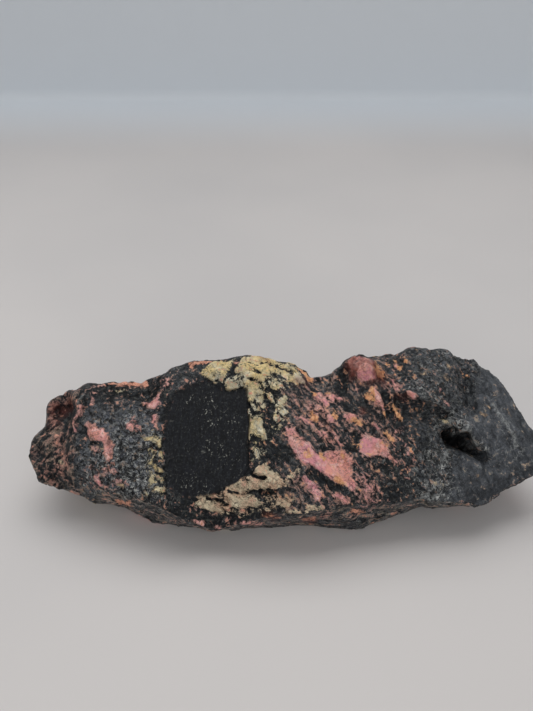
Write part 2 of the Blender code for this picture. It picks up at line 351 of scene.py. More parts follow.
fibres = cloud("fibres", 1, 2)
for region, height, angle, sizes in FIBRES:
    bpy.ops.object.select_all(action="DESELECT")
    bpy.ops.object.empty_add(rotation=pattern_axes(angle).to_euler(), scale=Vector(sizes) * MM)
    guide = bpy.context.object
    bpy.context.view_layer.update()
    displace(stone, fibres, region, height, texture_coords="OBJECT", texture_coords_object=guide)
    bpy.data.objects.remove(guide)
    print(f"{region:10} {height} mm, drawn out {sizes[0]} mm at {angle} degrees")
displace(stone, cloud("grain", 1.5 * MM), "rough", 0.25, texture_coords="LOCAL")
apply_modifier(stone, "SMOOTH", factor=0.4, iterations=1)
apply_modifier(stone, "SMOOTH", factor=0.6, iterations=8, vertex_group="thin")

# %% Thorns taken off
THORN = 0.16
TIP_THORN = 0.3 * THORN


def height_over_neighbours(item):
    """How far each point is from the middle of its neighbours, in millimetres."""
    places = points_of(item)
    pairs = np.empty(len(item.data.edges) * 2, dtype=np.int32)
    item.data.edges.foreach_get("vertices", pairs)
    starts, ends = pairs.reshape(-1, 2).T
    total, count = np.zeros_like(places), np.zeros(len(places))
    for one, other in ((starts, ends), (ends, starts)):
        np.add.at(total, one, places[other])
        np.add.at(count, one, 1)
    return np.linalg.norm(total / count[:, None] - places, axis=1)


def take_off_thorns(item, limit, share=1.0, passes=5):
    """Smooths the points that stand out from their neighbours, and clears all groups."""
    thorns = share * ease(height_over_neighbours(item), 0.7 * limit, limit)
    set_group(item, "thorns", thorns)
    apply_modifier(item, "SMOOTH", factor=0.8, iterations=passes, vertex_group="thorns")
    only(item)
    bpy.ops.object.vertex_group_remove(all=True)
    print(int((thorns > 0.5).sum()), "thorns")


take_off_thorns(stone, THORN)
print("after displacement:", [round(side / MM, 1) for side in stone.dimensions], "mm")

# %% [markdown]
# ## Pit and overhang
# A grain fell out of the right end and left a pit with a raised lip. The solid has the pit, but a
# deep hollow needs steeper walls than its large faces give. Each stroke below pushes the surface in
# or pulls it out along a line, most at the middle of the line and nothing at its edge. A few
# strokes go all round the stone, over its crest and its left end, because they shape its outline: a
# lump, the notch under it and the full corner below. Points spread apart where a sharp end is
# pulled out, so the left end is looked over for thorns once more. Sculpting by hand would do as
# well, but a list of strokes can be read and changed.

# %% Strokes for the pit, its lip and the folds
PIT = [(36, 12), (37, 13), (38.5, 13.5), (39.5, 12), (41, 12), (42, 12.5), (43, 10), (45, 8),
       (46.5, 7), (45, 6.8), (42, 7.9), (38.8, 8.8), (37.4, 9.6), (36.6, 10.6)]
PIT_LIP = PIT[:3] + PIT[5:9]
PIT_DEPTH = 3.2
FOLDS = [
    (1, 1.2, (38.5, 14.8), (41.7, 14), (43.2, 11.5), (45, 9.2), (46.8, 8.2)),
    (0.7, 0.8, (38.5, 11.5), (40, 12)), (2.4, 1, (38.5, 6.8), (41.5, 5.6), (44.5, 4.2)),
    (1.1, 0.6, (34.8, 12), (36.2, 8.6), (37, 6)),
    (1.1, -1.4, (25.5, 20.7), (28.4, 19.6), (31.5, 18.8), (34.4, 17.8), (36.6, 16.2)),
    (1, 0.8, (27.6, 21.6), (31, 20.6), (35, 19.4), (37.5, 17.6)),
    (0.9, 0.6, (20.3, 22), (21.2, 19.5), (22.3, 16.2)),
    (0.8, -0.6, (23, 21.5), (23.4, 18.6), (24, 15.8)), (0.8, 0.5, (24.2, 18.8), (25.8, 15.6)),
    (1, -0.6, (13, 22), (13.2, 27)), (0.9, -0.5, (42.6, 29), (43.6, 23), (44, 17)),
    (0.9, 0.6, (47.5, 24), (51, 15.5), (54.5, 9)), (1.2, 0.6, (31.5, 1), (34, -1), (36.5, -2.6)),
    (0.6, -0.5, (-9.2, 3.1), (-5.6, 1.7)), (0.6, -0.5, (-18.6, -2.7), (-14.3, -4.1)),
    (0.8, -0.6, (-6.7, -0.7), (-3.4, -1.3)), (0.7, 0.6, (-50, 18.6), (-50.6, 15), (-50.6, 11)),
]
SHOULDER = [
    (1.6, 0.8, (-9, 21), (-8.7, 13), (-9, 4)),
    (1.8, 0.6, (-9.5, 3), (-12, 0.8), (-15, -1.2), (-19, -3)),
]
ALL_ROUND = [
    (4, 1.3, (-57.5, 18.5)), (2.2, -0.7, (-60.5, 14)), (4.5, 1.5, (-60.5, 2), (-58, -1)),
    (3, 0.7, (-61, 10)), (3.5, -1.3, (-53.5, 24.5)), (1.6, -0.9, (43, 30)), (4, 0.8, (-62.5, 6)),
]
print(len(FOLDS), "folds,", len(SHOULDER), "rims and", len(ALL_ROUND), "strokes all round")


# %% Strokes carved
def ridges(spots, strokes):
    """Heights of strokes, highest on each line and nothing at half the width from it."""
    height = np.zeros(len(spots))
    for half_width, rise, *line in strokes:
        height += rise * ease(half_width - distance_to_line(spots, line), 0, half_width)
    return height


ruler = on_ruler(points_of(stone))
spots = ruler[:, :2]
below_lip = distance_to_line(spots, PIT_LIP)
wedge = ease(below_lip, 0, 0.7) * (1 - ease(below_lip, 1.6, 4))
outside = ease(-depth_inside(spots, WINDOW), 0.1, 0.7)
lift = front * (ridges(spots, FOLDS) + outside * ridges(spots, SHOULDER)
                - PIT_DEPTH * wedge * ease(depth_inside(spots, PIT), 0, 0.6))
lift += ridges(spots, ALL_ROUND)
move_out(stone, lift)
take_off_thorns(stone, TIP_THORN, ease(-along, 59, 60.5), passes=12)
print("hollows go from", lift.min().round(1), "to", lift.max().round(1), "mm")

# %% [markdown]
# ## The window
# The black window is one flat cleavage face with a crisp rim. The displacement kept away from it,
# but its floor still has the softness of the solid. Its points are pulled onto one plane here.

# %% Flat floor of the window
FLOOR_HEIGHT, FLOOR_SLOPE, FLOOR_TILT = 22.9, -0.275, 0.09
MOST_RAISED = 2.2


def window_share(spots, crisp, soft):
    """1 inside the window's outline and 0 outside, with a crisp right edge and a soft left one."""
    rightwards = spots[:, 0] - 0.8 * np.maximum(spots[:, 1] - 14, 0)
    edge = soft + (crisp - soft) * ease(rightwards, -20, -13)
    return front * ease(depth_inside(spots, WINDOW), -edge, edge)


def ragged_readings(ruler):
    """The readings along and up the face, with a waver that makes straight borders ragged."""
    flat = np.column_stack([ruler[:, :2], np.zeros(len(ruler))])
    return wavering(wavering(flat, 2.2, 0.5, 3), 0.8, 0.25, 5)[:, :2]


places = points_of(stone)
ruler = on_ruler(places)
spots = ragged_readings(ruler)
floor = FLOOR_HEIGHT + FLOOR_SLOPE * ruler[:, 1] + FLOOR_TILT * (ruler[:, 0] - WINDOW[0][0])
drop = np.minimum(floor - ruler[:, 2], MOST_RAISED) * window_share(spots, 0.25, 2)
places += drop[:, None] * np.array(FACE_OUT)
put_points(stone, places)
print("deepest move:", drop.min().round(2), "mm")

# %% [markdown]
# ## Where the minerals are
# Each mineral is laid down as shapes measured with the ruler: outlines for the large grains, and
# strokes with a width for the small ones. A shape also says how much of it the mineral covers. A
# point attribute keeps the result, so the shader can break the edges up with its own noise.
# Painting an image would give one fixed sharpness, and would need the stone to be unwrapped.

# %% Large grains
PINK_GRAINS = [
    (1, [(-1.5, 13), (0, 14), (1.5, 13.5), (2.5, 11.5), (5.5, 8.5), (7, 7), (9, 8), (12.5, 8),
         (14, 7), (15, 5.5), (13.5, 4), (15, 0.5), (14.5, -1), (13, -0.5), (11.5, 0.5), (8.5, 2),
         (6, 4), (2, 6), (1, 7), (0, 9.5)]),
    (1, [(17.5, 12), (21, 10.5), (22.5, 8.5), (23.5, 7), (23, 6), (21, 7), (18.5, 6.5), (16.5, 7),
         (16, 8.5), (16.5, 10.5)]),
    (0.95, [(3, 2.5), (5, 1.5), (6.5, 0), (7.5, -2.5), (6, -3), (4.8, -1), (3.3, 1)]),
    (1, [(-48, 14.5), (-45.5, 14), (-45, 13), (-43.5, 13), (-41.5, 10.5), (-41, 6.5), (-42, 5.5),
         (-43.2, 7.5), (-43.7, 10), (-46, 9.8), (-47.5, 11), (-48.3, 13)]),
    (1, [(14, 29), (15.5, 30.5), (17.5, 30.5), (20, 29.5), (21, 29), (21, 25), (18, 24.3),
         (16.5, 25), (15.5, 27)]),
    (0.95, [(-35, 19.3), (-33, 19.8), (-31.3, 22), (-31.3, 19.7), (-30.5, 19), (-31.5, 18),
            (-33.5, 18.3)]),
    (0.9, [(-33, 16.7), (-31.5, 16.2), (-31.3, 14.5), (-30.8, 13), (-32, 13.3), (-32.5, 14.7)]),
    (0.8, [(-38.7, 14.2), (-37, 15.7), (-35.8, 14.7), (-34.8, 12.5), (-36.5, 12.5), (-38.7, 13)]),
]
CREAM_GRAINS = [
    (0.95, [(-21.2, 27), (-18.5, 29.2), (-13.8, 29.6), (-13.8, 27.5), (-15.5, 25.3), (-17, 24.7),
            (-19, 24.7), (-20.8, 26)]),
    (0.66, [(-15.7, 25), (-13.5, 25.7), (-11, 26), (-9.8, 24.5), (-10.3, 23), (-13, 22.3),
            (-15.2, 22)]),
    (1, [(-12.3, 29.5), (-10, 30.5), (-7, 30.5), (-3, 29.5), (1, 27.8), (3, 25.7), (3.7, 23.7),
         (1.5, 23.5), (-1.5, 26), (-3, 26.7), (-5, 26), (-5.7, 24.5), (-5.5, 22.7), (-6.5, 22.5),
         (-7.5, 24), (-9.5, 24.8), (-12.3, 26.5)]),
    (1, [(-10, 24.5), (-9, 24.7), (-7.3, 23.5), (-6, 22), (-6, 20.3), (-7, 19.3), (-8, 19.8),
         (-9.7, 20.3), (-10, 22)]),
    (0.95, [(-9.7, 19.7), (-8.3, 19.2), (-7.2, 17.5), (-8, 16.8), (-9.5, 17.5)]),
    (0.95, [(-9.2, 16), (-7.5, 16.5), (-6.3, 15), (-5.5, 12), (-5.5, 10.8), (-7, 11.3),
            (-8.7, 11.3), (-9.2, 13)]),
    (0.8, [(-5, 24.5), (-3.5, 25.2), (-2, 24), (-2.3, 22), (-3.5, 22), (-5, 23.5)]),
    (0.9, [(-34.6, 10.9), (-32.5, 11.3), (-31.3, 12.4), (-29.6, 10), (-29.2, 6.3), (-31.2, 6.8),
           (-32.6, 8.4), (-32.2, 9.8)]),
    (0.85, [(-31.8, 5.4), (-29.8, 5.5), (-29, 3.8), (-29.7, 1.8), (-31, 2.6)]),
]
BEIGE_GRAINS = [
    (1, [(-14.5, -0.5), (-12, 1.5), (-9, 2.6), (-8, 4), (-5.5, 5.2), (-4, 3.5), (-1.3, 1.7),
         (-0.8, 0.3), (-3, -0.5), (-8.5, -0.5), (-10.5, -1.5), (-12.5, -1.6)]),
    (0.9, [(-16.2, -1.5), (-14.5, -0.9), (-9.5, -2), (-5.5, -3.5), (-8.5, -4.5), (-12.5, -5),
           (-16.2, -3)]),
    (0.85, [(-21.7, -3.7), (-20.3, -2.3), (-17, -1.5), (-14.5, -3.5), (-13.5, -5), (-16, -6),
            (-21.5, -4.7)]),
    (0.85, [(-1.6, -2.5), (0.7, -2.5), (-0.5, -4.7), (-2.2, -4.5)]),
]
print(len(PINK_GRAINS), "pink,", len(CREAM_GRAINS), "cream and", len(BEIGE_GRAINS), "beige grains")

# %% Small pink grains
PINK = [
    (0.5, 0.95, (-49.9, 18.6), (-50.3, 16.5), (-50.9, 14.7), (-50.8, 12.7)),
    (4.5, 0.2, (4, 19), (10, 14.5)), (3, 0.26, (8, 12), (10, 9)), (3.5, 0.22, (15, 13), (20, 12.5)),
    (3, 0.2, (21, 22), (23, 15)), (3.3, 0.36, (14.5, 3), (18, -2.5)), (2.4, 0.26, (3, 1), (8, -3)),
    (3, 0.26, (-47, 2), (-41, 1.5)), (2.5, 0.2, (24, 12), (27, 6)),
    (0.9, 1, (-44.5, 12.3), (-43, 11), (-41.9, 9)), (1, 0.6, (-45.8, 9), (-44.5, 8)),
    (0.55, 0.9, (-45.6, 4)), (0.6, 0.9, (-42.6, 3.8)), (0.7, 0.7, (-42.5, 5.3), (-40.8, 5.3)),
    (0.6, 0.8, (-42, 4.2), (-40.1, 3.3)), (0.6, 0.8, (-39.6, 1.6), (-37.8, 0.5)),
    (0.7, 1, (-44.7, 2), (-43.9, 0.5)), (0.6, 0.7, (-39.3, 0.1), (-41, 0.7)),
    (0.4, 0.5, (-48.4, 23.2), (-45.7, 23.8)), (0.4, 0.5, (-47.9, 21.6), (-45.2, 22.6)),
    (0.5, 0.7, (-47.4, 20.2), (-47.1, 18.8)), (1.3, 0.5, (-30, 23.6), (-30, 24.4)),
    (0.8, 1, (10.8, 7.3), (13.5, 6)), (0.8, 0.6, (4, 2.8), (7.8, 1)),
    (0.8, 0.9, (10.5, -1.8), (12.8, -3.3)), (2, 0.6, (17.4, -1)), (0.8, 0.85, (18.5, 0)),
    (0.7, 0.85, (17.3, -2.3)), (0.5, 0.8, (16.5, 1.8)), (0.7, 0.95, (23, 6.6), (24.8, 5.4)),
    (1, 0.9, (6.3, 20.9), (7.2, 20.6), (8.6, 19.5)), (0.9, 0.85, (9.4, 20.9), (11.7, 20)),
    (0.7, 0.7, (4.8, 18.4), (6.4, 16.5), (7.1, 14.3)), (0.7, 0.6, (1.9, 15.9), (5.1, 14.3)),
    (0.9, 0.8, (7.2, 18), (8.7, 16.1), (9.8, 15.1)), (0.9, 0.9, (13.2, 16), (15.1, 15.7)),
    (0.6, 0.8, (15.8, 14.9), (16.6, 14)), (0.6, 0.75, (19.3, 13.9), (20.7, 13.5)),
    (0.7, 0.8, (7.2, 12.4), (8.6, 11.6), (9.9, 10.1)), (0.5, 0.8, (10.5, 10.8), (12, 9.5)),
    (0.4, 0.75, (9, 13.2), (11.3, 11)), (0.5, 0.8, (8.3, 7.4), (8.9, 6.6)),
    (0.7, 0.7, (17.5, 17.2)), (0.8, 0.55, (16.4, 22.8)), (1, 0.45, (6.2, 25.5), (7.5, 25.5)),
    (0.85, 1, (20, 22.4), (20.8, 21), (21.1, 19.4), (22, 17.8)),
    (0.6, 0.95, (24.9, 24.2), (26.2, 22.9)), (0.6, 0.8, (26.2, 28.3)),
    (0.7, 0.95, (28.3, 21.4), (29.4, 20.4)), (0.5, 0.35, (25.9, 20.9), (27.5, 20.7)),
    (0.45, 0.8, (36.6, 19), (37.8, 18.9)), (0.4, 0.8, (35.8, 22)), (0.6, 0.85, (27.5, 7.5)),
    (0.45, 0.8, (28.9, 6)), (0.4, 0.75, (26.8, 9.3)), (0.4, 0.6, (27.3, 1.7)),
    (0.4, 0.7, (40.5, -3.8)), (0.6, 0.7, (9, -6.7)), (0.6, 0.8, (7.5, -7)),
    (0.6, 0.7, (15.2, -6.6)), (0.5, 0.85, (-21.7, -7.8), (-20.1, -8.6)),
    (0.5, 0.7, (-17.2, -9), (-16.2, -9.6)), (0.45, 0.8, (-10.9, -8.3), (-6.9, -8.9)),
    (0.5, 0.6, (-13.8, -7.1), (-12.8, -7.8)), (0.8, 0.5, (24.2, 11.6), (26.2, 13)),
]
print(len(PINK), "small pink shapes")

# %% Small cream and beige grains
CREAM = [
    (4.5, 0.46, (-15, 27), (-2, 26.5)), (1.2, 0.8, (-10, 25), (-9.5, 17.5)),
    (0.8, 0.7, (-9.9, 15.5), (-9.7, 11)), (3.2, 0.36, (-6.2, 21), (-5, 14)),
    (2.6, 0.34, (-2.6, 19.5), (-2, 16)), (1.6, 0.28, (-7.5, 10), (-7, 5)),
    (2.3, 0.46, (-31.4, 9.5), (-30.8, 1.5)), (0.8, 0.7, (-14, 29), (-12.5, 27)),
    (0.6, 0.9, (-6.1, 18.6), (-4.5, 17.6)), (0.6, 0.85, (-4.8, 21), (-3.8, 19.4)),
    (0.8, 1, (-1.2, 20.2), (-2.5, 18.4), (-1.1, 16.7)), (0.5, 0.9, (-3.4, 16.9), (-3.4, 15.5)),
    (0.6, 0.7, (-1.7, 15.1)), (0.7, 0.7, (-3.2, 12.8), (-2.1, 13.7)), (0.5, 0.8, (-7.7, 10.1)),
    (0.4, 0.7, (-4.6, 10.5)), (0.8, 0.95, (-7.9, 8.3), (-7.4, 6.8)), (0.5, 0.8, (-5.7, 8)),
    (0.4, 0.8, (-8.8, 5.7)), (0.8, 0.85, (-30.5, -0.8), (-29.2, -1)), (0.4, 0.7, (-32, 1)),
    (0.9, 0.45, (-28.8, 18.4), (-29, 16.4)), (0.4, 0.6, (-29.3, 14.5)),
    (0.6, 0.55, (-42, 21.8), (-40.3, 22.2)), (0.5, 0.7, (-32.5, -1.5)), (0.5, 0.7, (-33.5, -3.2)),
    (0.5, 0.6, (-54.5, 5.4), (-53.5, 5.2)), (0.5, 0.6, (-32, 13.3)),
    (0.5, 0.75, (35.8, 14.9), (37.4, 14.8)),
]
BEIGE = [
    (0.5, 0.85, (-4.6, -4.9), (-2.6, -4.1)), (0.7, 0.9, (4.2, -4.6), (7.3, -5)),
    (0.4, 0.7, (-11.8, -6.1), (-10.5, -6.9)), (0.3, 0.85, (-1.5, -5.9), (3.8, -5.6)),
    (2.5, 0.36, (-14, -4.5), (-4, -3.5)), (0.5, 0.7, (-16, -5.9), (-14, -6.3)),
    (1.2, 0.5, (-1, 1), (2, 4)), (0.9, 0.5, (15, 0), (16.5, -1)),
    (0.8, 0.5, (-46.3, 8.8), (-44.7, 8)), (0.5, 0.6, (33.5, 0.5), (35.3, -0.2)),
]
print(len(CREAM), "cream and", len(BEIGE), "beige shapes")

# %% Orange and rusty grains
ORANGE = [
    (0.55, 0.95, (-43, 24.3), (-40.2, 24.4), (-35.2, 24.2)), (0.4, 0.6, (-44.6, 9.3), (-43.8, 8.4)),
    (0.6, 0.8, (-40.4, -4.4), (-37.6, -4.4)), (0.5, 0.85, (-39.3, 0.1), (-38.6, -0.2)),
    (0.55, 0.9, (-23.7, 28.6), (-22.3, 29.3), (-18.4, 29.9)),
    (0.7, 0.9, (2.6, 28.3), (4, 26.8), (5.1, 25.2)), (0.6, 0.75, (3.8, 7.8), (4.6, 7)),
    (0.45, 0.9, (6.9, 7), (7.7, 6.3)), (0.5, 0.8, (10.5, 1.8), (12, 0.6)),
    (0.5, 0.9, (14.1, 9.3), (15.7, 9.7)), (0.5, 0.9, (5.9, 21.3)), (0.5, 0.7, (9.2, 21.2)),
    (0.55, 0.8, (5.5, 16.5), (6.3, 15)), (0.5, 0.8, (10.3, 16.9), (11, 16)),
    (0.45, 0.85, (15, 15.3), (16.4, 14.3)), (0.5, 0.8, (12.2, 6.8)),
    (0.8, 0.95, (20.9, 28.2), (21.7, 26.8), (22.4, 25.8)), (0.6, 0.9, (18.3, 20.8), (19.6, 20.2)),
    (0.4, 0.9, (19.8, 22.8), (20.3, 21.3)), (0.55, 0.85, (22.2, 17), (22.6, 16)),
    (0.6, 0.95, (24.6, 18.4), (25.5, 16.7), (25.9, 15.6)), (0.4, 0.7, (22.5, 12), (24, 10.5)),
    (0.45, 0.8, (26, 29.9)), (0.5, 0.7, (28.4, 29.5)), (0.4, 0.85, (26.9, 28.1)),
    (0.35, 0.8, (24.2, 29.1)), (0.35, 0.7, (31.4, 32.4)), (0.4, 0.9, (38.1, 28.3), (38.8, 27.7)),
    (0.35, 0.85, (37.3, 25.6), (38.2, 24.9)), (0.45, 0.9, (43.4, 27), (44.1, 25.8)),
    (0.35, 0.8, (44.5, 24.4)), (0.35, 0.8, (44.3, 17.8)), (0.35, 0.6, (30.1, 17.8), (30.6, 17.1)),
    (0.5, 0.6, (31.6, 26.2), (33, 26.6)), (0.4, 0.9, (44.1, 18.1)),
    (0.5, 0.95, (45.5, 17), (47, 16)), (0.4, 0.8, (46.9, 18.7), (48.6, 18.2)),
    (0.4, 0.8, (53, 17.8), (53.3, 16.3)), (0.35, 0.7, (51.7, 19)), (0.35, 0.7, (54.9, 8)),
    (0.3, 0.8, (44, 2), (45.6, 1.3)), (0.3, 0.8, (34.4, 0.2)), (0.35, 0.6, (38.8, -1)),
    (0.3, 0.8, (40.3, 5)), (0.4, 0.6, (49.5, 16.5), (51, 15)), (0.5, 0.8, (3.3, -7.9), (5.4, -7.9)),
    (0.45, 0.6, (-5.4, -6.3), (-3.4, -7.1)), (0.5, 0.5, (14.5, -6.2), (17, -6)),
]
RUST = [
    (1.1, 0.9, (15.2, 26), (16.8, 25)), (0.8, 0.9, (21.6, 25.6), (23.1, 24.2)),
    (0.7, 0.7, (24.5, 24.6)), (0.9, 0.5, (21.3, 27.5), (22.4, 26)),
    (1.6, 0.4, (-56, 18), (-54, 19)), (0.6, 0.4, (25.9, 21), (27.5, 20.8)),
    (3, 0.6, (16.5, 28), (19, 26.5)), (1.4, 0.85, (15.2, 28), (16.6, 26)),
    (0.7, 0.8, (17.6, 30), (18.2, 27.6)), (0.8, 0.9, (20, 29.5), (20.6, 26.5)),
    (0.8, 0.7, (17.5, 24.7), (20, 25)), (0.8, 0.6, (18, 28.6), (18.5, 26)),
    (0.9, 0.6, (2, 24.5), (4, 24.5)), (1, 0.45, (-57.5, 19), (-57.3, 17)),
    (0.8, 0.7, (-58, 15), (-56.5, 14)), (0.6, 0.6, (17.5, 17.2)),
    (0.8, 0.6, (-6.5, 29.6), (-5, 29.4)), (0.6, 0.6, (3.3, -8.3), (5.4, -8.4)),
    (0.6, 0.5, (5.5, 17.4), (6.2, 16.2)), (0.8, 0.4, (3.5, 24.7)), (0.6, 0.5, (8.5, 14), (9.5, 13)),
    (0.6, 0.6, (-5.4, -6.5), (-3.4, -7.4)),
]
print(len(ORANGE), "orange and", len(RUST), "rusty shapes")

# %% Cooler and warmer pinks, and dark lines: black veins and some painted shade
MAUVE = [
    (1.9, 1, (3.6, 7.5), (6.3, 4.8)), (1.2, 0.9, (4.5, 0.5), (6.5, -2.2)), (1.4, 0.8, (17.3, 9.6)),
    (1.4, 0.5, (18.5, 25.8), (20, 25.5)), (1, 0.7, (12.5, 1.5), (13, 0)), (1, 0.6, (19.5, 10)),
    (1.2, 0.8, (1.9, 15.9), (5.1, 14.3)), (1, 0.7, (20.8, 13.5)), (1.5, 0.6, (17.4, -1)),
]
CORAL = [
    (1.8, 1, (12.5, 7), (13.8, 5)), (2, 0.9, (9.5, 4), (12.5, 1.8)), (1.3, 0.9, (20.8, 8.6)),
    (1.5, 1, (-46.8, 12.8), (-46, 12.2)), (1.6, 0.6, (15, 28.8), (17, 27.5)), (1, 0.8, (23.5, 6.5)),
    (1.2, 0.6, (1.5, 10.5), (2.5, 9)), (1.2, 0.8, (20.5, 22), (21.5, 18)), (1, 0.6, (8, 17)),
    (1.8, 0.25, (-30.8, 10), (-30.2, 3)), (2.5, 0.3, (-18, 27.5), (-16, 28)),
    (2, 0.4, (-9, 28.5), (-3, 28)), (1.5, 0.6, (-42.6, 9.5), (-41.8, 6)),
]
DARK = [
    (0.3, 0.8, (-32.5, 9.5), (-30.5, 8.3), (-29.3, 8.6)),
    (0.3, 0.8, (-30.6, 7.8), (-31, 5.6), (-29.5, 4.6)), (0.3, 0.8, (-31.5, 3.6), (-29.5, 2.6)),
    (1.6, 0.22, (-0.8, 13.3), (2, 11.5)),
    # painted shade: this stroke and the next three darken under the overhang, in the groove beside
    # the right hump and along the bottom edge of the right end
    (0.7, 0.85, (25.7, 20.2), (28.4, 19.3), (31.5, 18.7), (34.4, 17.6), (36.6, 16)),
    (1.3, 0.45, (27, 17.5), (31, 16.5), (34.5, 15)), (1.3, 0.5, (43.3, 27), (44, 19)),
    (1.6, 0.5, (42, -3), (50, -1), (58, 3)), (0.8, 0.9, (-29.5, 22), (-29, 12), (-28.5, 4)),
    (0.5, 1, (-14, 26), (-12.7, 29.3)), (0.3, 0.6, (-9.2, 24.8), (-7.2, 24.3), (-5.6, 22.6)),
    # of the strokes on this line and the next, the three thinnest lie over the mound's top: they
    # draw its grey lines and darken the top as painted shade too
    (0.3, 0.8, (-2.6, 28.2), (0.5, 26.3)), (0.22, 0.7, (-10.5, 29.6), (-8, 28.4), (-5.5, 28.8)),
    (0.2, 0.7, (-9.5, 27.2), (-7, 26.4)), (0.22, 0.7, (-4.6, 28.4), (-2.8, 27.4)),
    (0.25, 0.8, (-18.2, 25.6)), (1.7, 0.9, (-3.5, 8.8), (-1, 6.8)),
    (1.3, 1, (12.6, 22), (13, 27.6)), (0.25, 0.9, (-10, 18.8), (-8, 16.5), (-6, 17.2)),
    (0.9, 0.8, (-5.2, 14), (-4.6, 18)), (0.3, 1, (-9.2, 3.1), (-5.6, 1.7)),
    (0.25, 0.9, (-13.7, -0.9), (-11.8, -1.7)), (0.25, 0.9, (-16.4, -1.5), (-15, -2.5)),
    (0.3, 1, (-18.6, -2.7), (-14.3, -4.1)), (0.25, 0.9, (-10.8, 1.7), (-9.6, 1.3)),
    (0.45, 1, (-6.7, -0.9), (-3.4, -1.3)), (0.3, 0.9, (-7.7, -1.1), (-5.8, -2.9)),
    (1.8, 0.7, (-55.5, 16.8), (-53, 17)), (0.4, 0.9, (-46.6, 10), (-44.2, 9.7)),
    (0.3, 0.9, (-46, 7), (-43.5, 6.5)), (1.4, 0.8, (13.5, 18.5), (18.5, 17.8)),
    (0.9, 0.9, (23, 21), (23.6, 16)), (1.2, 0.8, (15.5, 11.3), (14.5, 8.5)),
    (0.9, 0.9, (12, -0.6), (8, 0.8), (4.5, 3.2)), (0.8, 0.8, (-48.6, 12.5), (-48.8, 8.5)),
]
print(len(MAUVE), "cooler,", len(CORAL), "warmer and", len(DARK), "dark shapes")

# %% [markdown]
# ## The sides that nobody measured
# The back and the underside are broken through the same rock, so they hold the same minerals. Their
# patches come from slow noise, drawn out along the same layers, and from a few veins that carry on
# over the crest. The direction of sight tells the two apart: beyond the crest a reading up the face
# hardly changes any more, and a shape there would smear down the back.
#
# Rhodonite and quartz are harder than the oxide, so their grains stand proud of it. The cover is
# used once more for that, and sets them a third of a millimetre higher.

# %% Helpers for covers
SIGHT = Vector((0, -0.814, 0.581))


def cover_of(spots, strokes, outlines=(), fade=0.9):
    """How much of each spot a mineral covers, from the strokes and the outlines that hold it."""
    cover = np.zeros(len(spots))
    for half_width, share, *line in strokes:
        near = distance_to_line(spots, line)
        cover = np.maximum(cover, 1.2 * share * ease(half_width - near, -fade, fade))
    for share, outline in outlines:
        depth = depth_inside(spots, outline)
        cover = np.maximum(cover, 1.2 * share * ease(depth, -0.9 * fade, 0.7 * fade))
    return cover


def slow_noise(spots, sizes, seed):
    """Slow noise at each point, about -1 to 1, drawn out by its sizes."""
    shift = Vector((7.1 * seed, 3.7 * seed, seed))
    return np.array([noise.noise(Vector(spot) + shift) for spot in spots / sizes])


def store(item, **kept):
    """Keeps numbers for each point of the object under their names, for the shader to read."""
    for name, values in kept.items():
        layer = item.data.attributes.new(name, "FLOAT", "POINT")
        layer.data.foreach_set("value", values.astype(np.float32))
        print(f"{name:10} {values.mean():6.3f} on average and {values.max():5.2f} at most")


ruler = on_ruler(points_of(stone))
spots = ragged_readings(ruler)
facing = looks @ np.array(SIGHT)
seen = ease(facing, 0.0, 0.12)
hidden = 1 - ease(facing, -0.35, -0.1)
print(f"{100 * seen.mean():.0f} % of the points are seen and {100 * hidden.mean():.0f} % hidden")

# %% Attributes for the minerals
VEIN_SIZE = np.array([9.0, 6.0, 13.0])
PROUD, GROOVE = 0.35, 0.35

# dark strokes clear the minerals and sink the surface: mostly black veins, in a few places painted
# shade
dark = seen * cover_of(spots, DARK, fade=0.4)
wild_pink = ease(slow_noise(places, VEIN_SIZE, 1), 0.16, 0.34)
wild_cream = ease(slow_noise(places, VEIN_SIZE * 0.9, 2), 0.22, 0.38)
wild_orange = ease(slow_noise(places, VEIN_SIZE * 0.3, 3), 0.4, 0.6)
over_crest = ease(-np.abs(places[:, 0] + 6 - 0.25 * places[:, 2]), -7, -3.5) * behind
minerals = {
    "pink": np.maximum(seen * cover_of(spots, PINK, PINK_GRAINS), 0.95 * hidden * wild_pink),
    "cream": np.maximum(seen * cover_of(spots, CREAM, CREAM_GRAINS),
                        np.maximum(0.9 * hidden * wild_cream, 0.75 * (1 - seen) * over_crest)),
    "beige": seen * cover_of(spots, BEIGE, BEIGE_GRAINS),
    "orange": np.maximum(seen * cover_of(spots, ORANGE, fade=0.6), 0.7 * hidden * wild_orange)}
# where the pit lies: its colour is later painted near black, partly the black oxide of its floor
# and partly painted shade of its deep walls
pit = (ruler[:, 2] > 8) * ease(depth_inside(spots, PIT), -0.2, 0.4)
store(stone, **{name: cover * (1 - dark) * (1 - pit) for name, cover in minerals.items()})
most = np.maximum.reduce([minerals[name] for name in ("pink", "cream", "beige")])
hard = ease(most, 0.3, 0.9) * (1 - dark)
move_out(stone, off_bed * (PROUD * (hard - 0.5) - GROOVE * dark) * (1 - window))
warmer, cooler = cover_of(spots, CORAL, fade=1.3), cover_of(spots, MAUVE, fade=1.3)
store(stone, rust=seen * cover_of(spots, RUST, fade=1.2), warmth=0.5 + 0.5 * warmer - 0.5 * cooler)

# %% Strokes for flecks, painted glints, painted light, and worn edges with painted highlights
FLECKED = [
    (0.8, 0.8, (-23.8, 19.6), (-22.9, 20.8)), (1, 1, (-19.1, 20.2), (-18.9, 18.2), (-20.2, 15)),
    (0.8, 0.9, (-17, 14.9), (-18.6, 14.1)), (1.2, 0.7, (-14.7, 16.3), (-13.4, 14.6)),
    (1, 0.6, (-13.4, 12)), (2.5, 0.4, (-18, 8), (-14, 6)), (1.5, 0.5, (-24, 1), (-19, -1)),
]
